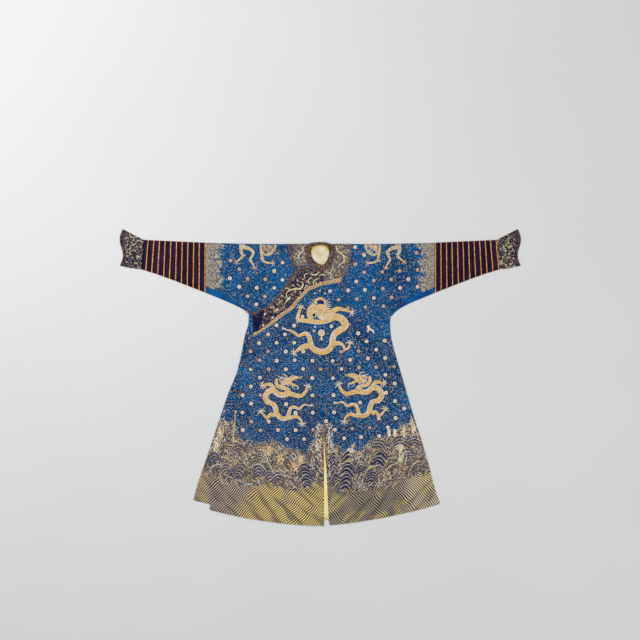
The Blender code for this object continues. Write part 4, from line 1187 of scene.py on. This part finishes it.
def mottle(stitch, count, across, down, threads):
    """Short strokes scattered over a place that is worked in many small stitches."""
    for _ in range(count):
        x, y, lean = dice.uniform(*across), dice.uniform(*down), dice.uniform(-4, 4)
        stitch.hair([(x - 5, y - lean), (x, y), (x + 5, y + lean)], [3, 5, 2], dice.choice(threads), 1.3)


def front_face(stitch):
    """A dragon's face seen from the front: mane, horns, brows, eyes and beard."""
    # Painted shadow: a low dark blue disc under the head.
    stitch.dot(0, 0, 46, "deep", 0.15, 24)
    for heading in [*range(-8, 64, 12), *range(122, 196, 12)]:
        length = 30 + 6 * math.sin(heading)
        tuft(stitch, *polar(0, 0, heading, 30), heading, length, ("silver", "pale"), (-4,))
    stitch.ribbon([(-25, 22), (-24, 40), (-2, 52), (20, 40), (21, 22)], [11, 13, 14, 13, 11], "gold", 1.4)
    stitch.dot(0, -8, 41, "gold", 1.4, 26, squash=0.84)
    for _ in range(90):
        x, y, radius = dice.uniform(-34, 34), -6 + dice.uniform(-30, 30), dice.uniform(2, 4)
        thread = dice.choice(("pale", "line", "grey", "line", "tan"))
        stitch.dot(x, y, radius, thread, 1.65, 7, cover=False)
    for side in (-1, 1):
        stitch.flip = side
        stitch.strokes(FACE)
        stitch.dot(16, 1, 6, "silver", 1.9, 12)
        stitch.dot(15, 1, 3, "navy", 2.2, 10)
    stitch.dot(0, -6, 12, "tan", 1.9, 16, squash=0.8)
    for x in (-5, 5):
        stitch.dot(x, -9, 2.2, "navy", 2.3, 8)


def side_face(stitch):
    """A dragon's head seen from the side."""
    # Painted shadow: a low dark blue disc under the head.
    stitch.dot(16, 84, 30, "deep", 0.15, 20)
    stitch.dot(4, 82, 18, "gold", 1.2, 18)
    stitch.strokes(SIDE_HEAD)
    mottle(stitch, 46, (-38, 8), (58, 96), ("gold", "tan", "pale", "gold", "line", "peach"))
    for _ in range(34):
        x, y, radius = dice.uniform(-12, 46), dice.uniform(60, 104), dice.uniform(1.6, 3.2)
        thread = dice.choice(("line", "pale", "grey", "silver", "tan"))
        stitch.dot(x, y, radius, thread, 1.75, 7, cover=False)
    stitch.dot(22, 91, 5.5, "silver", 2.0, 10)
    stitch.dot(23, 91, 2.8, "navy", 2.0, 10)
    stitch.dot(58, 102, 2.4, "navy", 2.0, 10)
    stitch.dot(2, 80, 3, "tan", 2.0, 10)


def chest_dragon():
    stitch = Stitching("chest_dragon", at=(0, 245))
    limbs(stitch, CHEST_LIMBS)
    limb(stitch, ((70, 44), (33, 30), (-2, 24), (-50, 28), (-106, 34)), (22, 26, 24, 23, 24), 8, 0.15, 1.0)
    limb(stitch, ((-22, 108), (-47, 86), (-50, 56), (-34, 32)), (18, 34, 34, 24), 8, 0.15, 1.0)
    spine(stitch, CHEST_BODY, CHEST_WIDTHS, 0.235)
    stitch.ribbon([(60, 32), (30, 20), (-4, 14), (-48, 18), (-92, 26)], [4], "silver", 1.4, across=3)
    stitch.ribbon([(-10, 74), (8, 54), (34, 42)], [34, 42, 34], "pale", 1.05)
    stitch.dot(-30, 59, 10, "deep", 1.5, 14, squash=0.9)
    for index in range(14):
        x, y = -14 + 3.6 * index, 60 - 1.2 * index + dice.uniform(-12, 12)
        thread = dice.choice(("silver", "gold", "silver", "grey"))
        stitch.hair([(x, y), (x + 7, y - 5), (x + 13, y - 13)], [3, 4, 2], thread, 1.4)
    tuft(stitch, -166, -10, 165, 26, ("silver", "pale"), (-24, 0, 24))
    tuft(stitch, 136, 12, 10, 13)
    tuft(stitch, -104, 34, 230, 20, ("gold", "silver"))
    stitch.at = (2, 332)
    front_face(stitch)

    # The pearl, with its flames.
    stitch.at = (6, 216)
    # Painted shadow: a low dark blue disc round the pearl.
    stitch.dot(0, 0, 23, "deep", 0.12, 18)
    stitch.dot(0, 0, 18, "pale", 0.9, 20)
    stitch.ring(0, 0, 9, 3.4, "grey", 1.2, 18)
    stitch.dot(0, 0, 5, "yellow", 1.3, 12)
    tuft(stitch, 0, -16, 270, 24, ("line", "silver"), (-34, 0, 34))
    tuft(stitch, -28, 10, 170, 18, ("silver", "tan"))
    tuft(stitch, -26, 24, 130, 16, ("silver", "tan"))
    return stitch.finish()


def walking_dragon(name, at, flip):
    stitch = Stitching(name, at=at, flip=flip)
    limbs(stitch, WALKING_LIMBS)
    spine(stitch, WALKING_BODY, WALKING_WIDTHS, 0.42)
    tuft(stitch, 108, -37, 10, 22, ("silver", "pale"), (-26, 0, 26))
    tuft(stitch, -104, 42, 110, 22)
    tuft(stitch, -108, 0, 190, 13)
    side_face(stitch)
    return stitch.finish()


def shoulder_dragon(name, surface, flip, threads):
    """A dragon laid over the shoulder fold, half on the front and half on the back."""
    stitch = Stitching(name, surface, (flip * 333, 648), flip, gold=THREADS["antique"])
    limbs(stitch, SHOULDER_LIMBS, 0.8, "tan")
    spine(stitch, SHOULDER_BODY, (24, 28, 30, 30, 26, 20, 13), 0.6)
    stitch.strokes(SHOULDER_CURLS)
    mottle(stitch, 70, (-112, -52), (-40, 2), threads)
    return stitch.finish()


ROUNDEL_ROOM = 16  # between an edge and the middle of a roundel
ROUNDEL_ABOVE_SEA = 14
HIGHEST_ROUNDEL = 636


def sea_top(x):
    """Top of the wave border."""
    return float(curve(SEA_EDGE, x))


HIGH_DISCS = ("rim", "fawn", "rim", "fawn", "fawn")
LOW_DISCS = ("rim", "rim", "line", "fawn", "rim")


def lattice(stitch, start, pitch, slope, drift, inside, others):
    """Discs on a staggered lattice, left out where other stitching lies.

    Rows rise with x by slope, and their starts move sideways with y by drift.
    """
    for row in range(-40, 41):
        for column in range(-14, 15):
            y = start[1] + row * pitch[1]
            x = start[0] + (column + 0.5 * (row % 2)) * pitch[0] + drift * row * pitch[1]
            y += slope * (x - start[0])
            x, y = x + dice.uniform(-2, 2), y + dice.uniform(-2, 2)
            radius = dice.choice((9.4, 9.8, 10.4))
            thread = dice.choice(HIGH_DISCS if y > 280 else LOW_DISCS)
            if inside(x, y) and all(other.free(x, y, radius - 1) for other in others):
                # Painted shadow: a low dark blue disc a little wider than the roundel.
                stitch.dot(x, y, radius + 4, "deep", 0.12, 14)
                stitch.dot(x, y, radius, thread, 0.7, 14)
                stitch.dot(x, y, radius * 0.45, "tan" if thread == "fawn" else "fawn", 0.95, 10)


def add_roundels(others):
    upper_x, upper_y, lower_x, lower_y = zip(*DIAGONAL[::-1])

    def on_overlap(x, y):
        highest = np.interp(x, lower_x, lower_y) - ROUNDEL_ROOM if x > -330 else 236
        inside = x < 2 and x > curve(OVERLAP_SIDE, y) + ROUNDEL_ROOM
        return inside and sea_top(x) + ROUNDEL_ABOVE_SEA <= y < highest

    def on_left(x, y):
        if x < 26 or not sea_top(x) + ROUNDEL_ABOVE_SEA <= y <= HIGHEST_ROUNDEL:
            return False
        if y < 250:
            return x < curve(LEFT_SIDE, y) - 18
        lowest = np.interp(x, (338, 372, 426, 494), (305, 333, 377, 411)) + ROUNDEL_ROOM
        if x > 474 or y < lowest:
            return False
        yoke = np.interp(x, (14, 108, 135, 150, 152), (440, 455, 508, 560, 660))
        return y < yoke - 6 if x < 150 else x > 166 or y < 540

    def on_sleeve(x, y):
        lowest = np.interp(x, upper_x, upper_y)
        if x < -346:
            lowest = max(lowest, np.interp(-x, (349, 375, 420, 476), (322, 344, 376, 412)))
        return -474 <= x <= -160 and lowest + ROUNDEL_ROOM < y <= HIGHEST_ROUNDEL

    front = Stitching("roundels_front")
    lattice(front, (-163, -213), (85, 42.3), 0.0, -0.014, on_overlap, others)
    lattice(front, (197, -205), (85, 42.0), 0.048, -0.034, on_left, [*others, front])
    sleeve = Stitching("roundels_sleeve", inner_top)
    lattice(sleeve, (-309, 521), (85, 42.0), -0.03, 0.0, on_sleeve, others)
    front.finish()
    sleeve.finish()


STACKS = (
    # x, y, half-width, crests, pitch, tilt, steepness, colour
    (132, -446, 40, 7, 17, -8, 0.8, "navy"), (66, -404, 26, 7, 15, 6, 1.5, "navy"),
    (137, -386, 32, 2, 17, 10, 0.7, "navy"), (290, -322, 36, 3, 15, -24, 0.4, "slate"),
    (290, -380, 38, 4, 16, -12, 0.7, "navy"), (388, -308, 40, 3, 15, 4, 0.5, "slate"),
    (462, -304, 34, 3, 12, -6, 0.5, "slate"), (484, -420, 52, 3, 16, 8, 0.5, "umber"),
    (196, -440, 18, 3, 12, 0, 0.7, "navy"), (256, -480, 28, 4, 12, -16, 0.7, "navy"),
    (420, -372, 34, 3, 14, 30, 0.6, "slate"), (346, -420, 30, 3, 14, 24, 0.7, "umber"),
    (-76, -446, 38, 8, 13, 8, 0.7, "navy"), (-400, -334, 36, 3, 13, 6, 0.5, "slate"),
    (-512, -392, 34, 3, 15, 20, 0.7, "slate"), (-244, -474, 26, 3, 13, 4, 0.6, "slate"),
    (-206, -484, 30, 3, 14, 10, 0.7, "slate"), (-396, -462, 30, 4, 13, -10, 0.8, "slate"),
    (-322, -396, 30, 3, 14, 16, 0.7, "umber"), (-160, -420, 30, 3, 14, -12, 0.7, "umber"),
    (-300, -464, 24, 3, 13, -10, 0.8, "slate"), (-458, -440, 28, 3, 13, 14, 0.6, "umber"),
    (-20, -430, 18, 5, 14, -20, 0.9, "slate"),
)
CRESTS = (
    # thread, points
    ("line", ((-300, -330), (-268, -372), (-236, -444), (-206, -478))),
    ("line", ((-254, -504), (-206, -470), (-158, -480))),
    ("pale", ((-510, -300), (-512, -346), (-478, -384), (-440, -390))),
    ("pale", ((-420, -300), (-380, -320), (-340, -300))),
    ("silver", ((-350, -440), (-300, -420), (-262, -450))),
    ("pale", ((-190, -372), (-176, -430), (-140, -470))),
    ("line", ((232, -420), (258, -384), (290, -352), (330, -368))),
    ("line", ((310, -470), (336, -432), (372, -412), (396, -380))),
    ("pale", ((214, -470), (244, -436), (290, -424))),
    ("line", ((424, -480), (446, -432), (484, -408), (524, -436))),
    ("pale", ((438, -330), (470, -350), (478, -390), (452, -420))),
    ("silver", ((350, -340), (384, -330), (410, -350), (420, -400))),
    ("pale", ((86, -470), (112, -420), (160, -400))),
    ("line", ((-540, -452), (-500, -420), (-470, -436))),
)


def wave_stack(stitch, x, y, half, count, pitch, tilt, peak, dark, light):
    """Nested crests, one below another, each a dark band under a thin light line."""
    lean = math.radians(tilt)
    for index in range(count):
        reach = half * (1 - 0.05 * index) * (1 + dice.uniform(-0.12, 0.12))
        shift = dice.uniform(-4, 4)
        for offset, wide, thread, lift, columns in ((0, 0.82, dark, 0.5, 5), (0.5, 0.16, light, 0.7, 3)):
            arc = []
            for across in np.linspace(-1, 1, 7):
                out = across * reach
                up = reach * peak * math.cos(across * math.pi / 2) ** 1.3 - (index - offset) * pitch
                arc_x = x + shift + out * math.cos(lean) - up * math.sin(lean)
                arc.append((arc_x, y + out * math.sin(lean) + up * math.cos(lean)))
            width = pitch * wide
            stitch.ribbon(arc, [width * 0.4, width, width * 0.4], thread, lift, columns)


def spiral(stitch, x, y, size, heading, turns, thread, width):
    """A curl that opens from a quarter of its size."""
    steps = max(5, int(10 * turns))
    shares = [step / steps for step in range(steps + 1)]
    points = [polar(x, y, heading + 360 * turns * share, size * (0.25 + 0.75 * share)) for share in shares]
    stitch.hair(points, [width * 0.7, width, width * 0.8], thread)


CURL_THREADS = ("line", "pale", "grey", "slate", "grey", "yellow", "navy", "silver", "slate", "pale")


def add_border():
    """The wave border: stacked crests, thin curling lines, rocks, and foam along the slit."""
    stitch = Stitching("wave_border", shown_top, sides=(RIGHT_SIDE, LEFT_SIDE))
    for *place, dark in STACKS:
        light = "pale" if dark == "navy" else dice.choice(("grey", "pale", "silver"))
        wave_stack(stitch, *place, dark, light)
    for thread, points in CRESTS:
        stitch.ribbon(points, [2.4, 3.4, 2.4], thread, 0.8, across=3)

    # Small curls and short strokes between the crests.
    for place in range(19 * 62):
        x = -560 + place % 62 * 18 + dice.uniform(-8, 8)
        y = -206 - place // 62 * 18 + dice.uniform(-8, 8)
        size, heading = dice.uniform(5, 11), dice.uniform(0, 360)
        thread = dice.choice(CURL_THREADS)
        edge = curve(OVERLAP_SIDE if x < 0 else LEFT_SIDE, y)
        inside = curve(STRIPE_EDGE, x) - 14 < y < sea_top(x) - 2 and abs(x) < abs(edge) - 12
        if inside and abs(x - 20) > 14 + max(0, -y - 260) * 0.08 and stitch.free(x, y, 1):
            if dice.random() < 0.5:
                spiral(stitch, x, y, size, heading, dice.choice((0.35, 0.5, 0.8)), thread, 2.8)
            else:
                lean = dice.choice((38, 45, 56) if x > 20 else (120, 134, 142, 48))
                ends = [polar(x, y, lean + turn, 1.6 * size) for turn in (180, 0)]
                stitch.hair([ends[0], polar(x, y, lean + 70, 2), ends[1]], [1.6, 3.2, 1.6], thread)

    # Foam beside the slit.
    for side in (-1, 1):
        for step in range(90):
            y = -228 - step * 2.8 + dice.uniform(-3, 3)
            away = dice.uniform(8, 40 + max(0, -y - 330) * 0.3)
            x = 20 + side * (away + max(0, -y - 300) * 0.07 * (side > 0))
            thread = dice.choice(("line", "silver", "line", "pale", "silver", "slate"))
            top = (x + side * dice.uniform(3, 9), y + 7)
            stitch.hair([(x, y - 5), (x + side * 3, y), top], [3, 4.5, 2], thread)

    # Rocks, and the small clouds of warm thread in the middle.
    stone, warm = ("line", "silver", "pale", "grey", "pale"), ("tan", "yellow", "fawn", "tan", "pale")
    for x, y, half, tall, threads in (
        (-484, -250, 20, 60, stone), (-508, -316, 18, 36, stone), (404, -262, 15, 40, stone),
        (452, -236, 13, 50, stone), (388, -340, 17, 22, stone), (396, -384, 24, 30, stone),
        (-128, -430, 24, 34, warm), (-252, -360, 22, 24, warm), (-94, -400, 14, 24, warm),
        (-196, -392, 26, 30, warm), (150, -360, 22, 30, stone),
    ):
        for _ in range(60):
            at_x, at_y = x + dice.gauss(0, half * 0.5), y + dice.gauss(0, tall * 0.5)
            stroke = [(at_x - 3, at_y - 6), (at_x, at_y), (at_x + 1, at_y + 7)]
            stitch.hair(stroke, [2.5, 4.5, 2], dice.choice(threads))

    # Spray up both side edges.
    for side, foot, top in ((-1, -330, -150), (1, -300, -180)):
        for y in range(foot, top - 6, 7):
            edge = -424 + 0.08 * (y - foot) if side < 0 else float(curve(LEFT_SIDE, y)) - 12
            x, radius = edge + dice.uniform(-2, 2), dice.uniform(2.2, 4)
            stitch.dot(x, y, radius, dice.choice(("yellow", "line", "pale")), 0.7, 8)
    stitch.finish()


# Pale dragons and clouds on the facings: widths and points, in millimetres.
LEFT_CLOUDS = (
    ((4, 6.5, 7.5, 7.5, 7, 5, 2), ((78, 642), (82, 618), (98, 604), (112, 590), (116, 568), (104, 552),
     (88, 548))),
    ((4, 4, 1.5), ((98, 604), (116, 612), (124, 624))),
    ((4, 4, 1.5), ((112, 590), (130, 584), (134, 572))),
    ((4, 4, 1.5), ((84, 622), (98, 632), (110, 640))),
    ((4, 4, 1.5), ((114, 566), (128, 556))),
    ((4, 4, 1.5), ((98, 552), (92, 538), (80, 532))),
    ((2, 5, 5, 2), ((44, 498), (52, 514), (60, 534), (64, 548))),
    ((2, 5, 6, 5, 2), ((36, 480), (50, 486), (54, 500), (44, 508), (34, 500))),
)
RIGHT_CLOUDS = (
    ((4, 6, 7, 6.5, 5, 2), ((-86, 638), (-82, 622), (-92, 606), (-104, 596), (-104, 578), (-98, 562))),
    ((4, 4, 1.5), ((-92, 606), (-110, 614), (-120, 624))),
    ((4, 4, 1.5), ((-104, 586), (-118, 578))),
    ((4, 4, 1.5), ((-84, 620), (-98, 632))),
    ((4, 4, 1.5), ((-98, 562), (-86, 556))),
)
BAND_CLOUDS = (
    ((5, 9, 10, 9, 8, 7, 4, 6, 9, 7, 3), ((-90, 468), (-84, 450), (-98, 430), (-122, 430), (-146, 424),
     (-162, 412), (-164, 396), (-152, 380), (-146, 390), (-160, 374), (-176, 352))),
    ((5, 5, 2), ((-184, 376), (-200, 362), (-212, 348))),
    ((5, 5, 2), ((-122, 428), (-122, 408))),
    ((5, 5, 2), ((-100, 444), (-114, 456))),
    ((5, 5, 2), ((-146, 424), (-158, 434), (-172, 428))),
    ((5, 5, 2), ((24, 498), (6, 500), (-8, 494))),
    ((4, 7, 7, 3), ((-6, 512), (-18, 500), (-34, 498), (-48, 506))),
    ((4, 6, 6, 3), ((-4, 480), (-20, 476), (-34, 462), (-30, 448))),
    ((4, 6, 6, 3), ((-40, 488), (-54, 478), (-56, 462), (-44, 452))),
    ((4, 6, 2), ((-62, 508), (-76, 496), (-74, 480))),
    ((4, 6, 2), ((-206, 338), (-214, 322), (-206, 310))),
    ((4, 6, 2), ((-66, 442), (-78, 432), (-72, 422))),
)
LEFT_SPIRALS = (
    (86, 585), (76, 560), (124, 604), (136, 614), (64, 520), (90, 512), (108, 536), (76, 496), (30, 512),
    (58, 480),
)
RIGHT_SPIRALS = ((-84, 584), (-76, 566), (-116, 600), (-124, 586), (-78, 602), (-110, 560))
BAND_SPIRALS = (
    (-66, 446), (-84, 478), (-108, 470), (-132, 448), (-186, 394), (-200, 376), (-220, 326), (-136, 404),
    (-240, 340), (-228, 342), (-96, 412), (-20, 458), (0, 462), (-66, 466), (-176, 340),
)
END_DOTS = ((-207, 328), (-268, 307), (-231, 291), (-276, 254))


def add_collar_stitching():
    for name, surface, clouds, spirals, dots in (
        ("yoke_left_dragon", on_main, LEFT_CLOUDS, LEFT_SPIRALS, ()),
        ("yoke_right_dragon", on_inner, RIGHT_CLOUDS, RIGHT_SPIRALS, ()),
        ("band_dragons", on_main, BAND_CLOUDS, BAND_SPIRALS, END_DOTS),
    ):
        stitch = Stitching(name, surface)
        for widths, points in clouds:
            stitch.ribbon(points, [0.8 * width for width in widths], "straw", 0.8, across=3)
        for x, y in spirals:
            spiral(stitch, x, y, 5.0, x, 1.2, "line", 2.4)
            stitch.dot(x + 8, y - 6, 2.0, "tan", 0.6, 8)
        for x, y in dots:
            stitch.dot(x, y, 5, "line", 0.9, 12)
        stitch.finish("collar_brocade")


def add_small_motifs():
    """Three gold dots over the chest dragon, a cloud, and paired scrolls over the waves."""
    stitch = Stitching("small_motifs")
    for x, y in ((-2, 420), (-26, 408), (23, 408)):
        stitch.dot(x, y, 4.5, "yellow", 0.9, 10)
    for x in (334, 362):
        stitch.ribbon([(x, -288), (x, -254)], [15, 16, 15], "line", 0.9)
        stitch.ribbon([(x, -282), (x, -262)], [3, 3], "tan", 1.2, across=3)
        stitch.ribbon([(x - 10, -254), (x + 10, -254)], [6, 6], "silver", 1.0, across=3)
    stitch.dot(376, -276, 7, "tan", 0.9, 12)
    for width, *points in (
        (12, (226, 252), (240, 236), (262, 226)),
        (10, (236, 256), (236, 238), (228, 220)),
        (9, (252, 226), (262, 216)),
    ):
        stitch.ribbon(points, [width * 0.6, width, width * 0.5], "line", 0.9, across=3)
    return stitch.finish()


def add_embroidery():
    dragons = [
        chest_dragon(),
        walking_dragon("skirt_dragon_right", (-161, -99), 1),
        walking_dragon("skirt_dragon_left", (190, -88), -1),
        shoulder_dragon("shoulder_dragon_left", main_top, 1, ("gold", "gold", "tan", "pale", "line")),
        shoulder_dragon("shoulder_dragon_right", inner_top, -1, ("tan", "umber", "tan", "gold")),
    ]
    motifs = add_small_motifs()
    add_border()
    add_roundels([*dragons, motifs])
    add_collar_stitching()


def dress_loops():
    """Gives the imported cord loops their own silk."""
    cord = plain_silk("loop_cord", (104, 66, 48), (146, 98, 66), 0.55, 4)
    for name in LOOPS:
        for spot in bpy.data.objects[f"loop_{name}"].material_slots:
            spot.material = cord


def add_studio():
    """The floor, a bluish sky, two soft lights and a camera straight above."""
    scene = bpy.context.scene
    scene.view_settings.view_transform = "Standard"
    mesh = bpy.data.meshes.new("floor")
    mesh.from_pydata([(-20, -20, 0), (20, -20, 0), (20, 20, 0), (-20, 20, 0)], [], [(0, 1, 2, 3)])
    mesh.materials.append(pale_floor())
    floor = bpy.data.objects.new("floor", mesh)
    scene.collection.objects.link(floor)
    scene.world = bpy.data.worlds.new("studio")
    scene.world.use_nodes = True
    sky = scene.world.node_tree.nodes["Background"]
    sky.inputs["Color"].default_value = (0.93, 0.95, 1.0, 1)
    sky.inputs["Strength"].default_value = 0.56
    for name, spot, aim, power, width in (
        ("key", (-2.6, 2.4, 3.4), (0, 0.1, 0), 100, 2.2),
        ("fill", (3.2, -1.2, 3.8), (0, 0, 0), 34, 3.0),
    ):
        light = bpy.data.lights.new(name, "AREA")
        light.energy, light.size = power, width
        lamp = bpy.data.objects.new(name, light)
        lamp.location = spot
        lamp.rotation_mode = "QUATERNION"
        lamp.rotation_quaternion = (Vector(aim) - Vector(spot)).to_track_quat("-Z", "Y")
        scene.collection.objects.link(lamp)
    lens = bpy.data.cameras.new("camera")
    lens.lens, lens.sensor_width = 85, 36
    camera = bpy.data.objects.new("camera", lens)
    camera.location = (-0.0012, 0.279, 7.335)
    scene.collection.objects.link(camera)
    scene.camera = camera


add_studio()
add_cloth()
add_trims()
add_linings()
add_neck_binding()
add_buttons()
add_embroidery()
dress_loops()
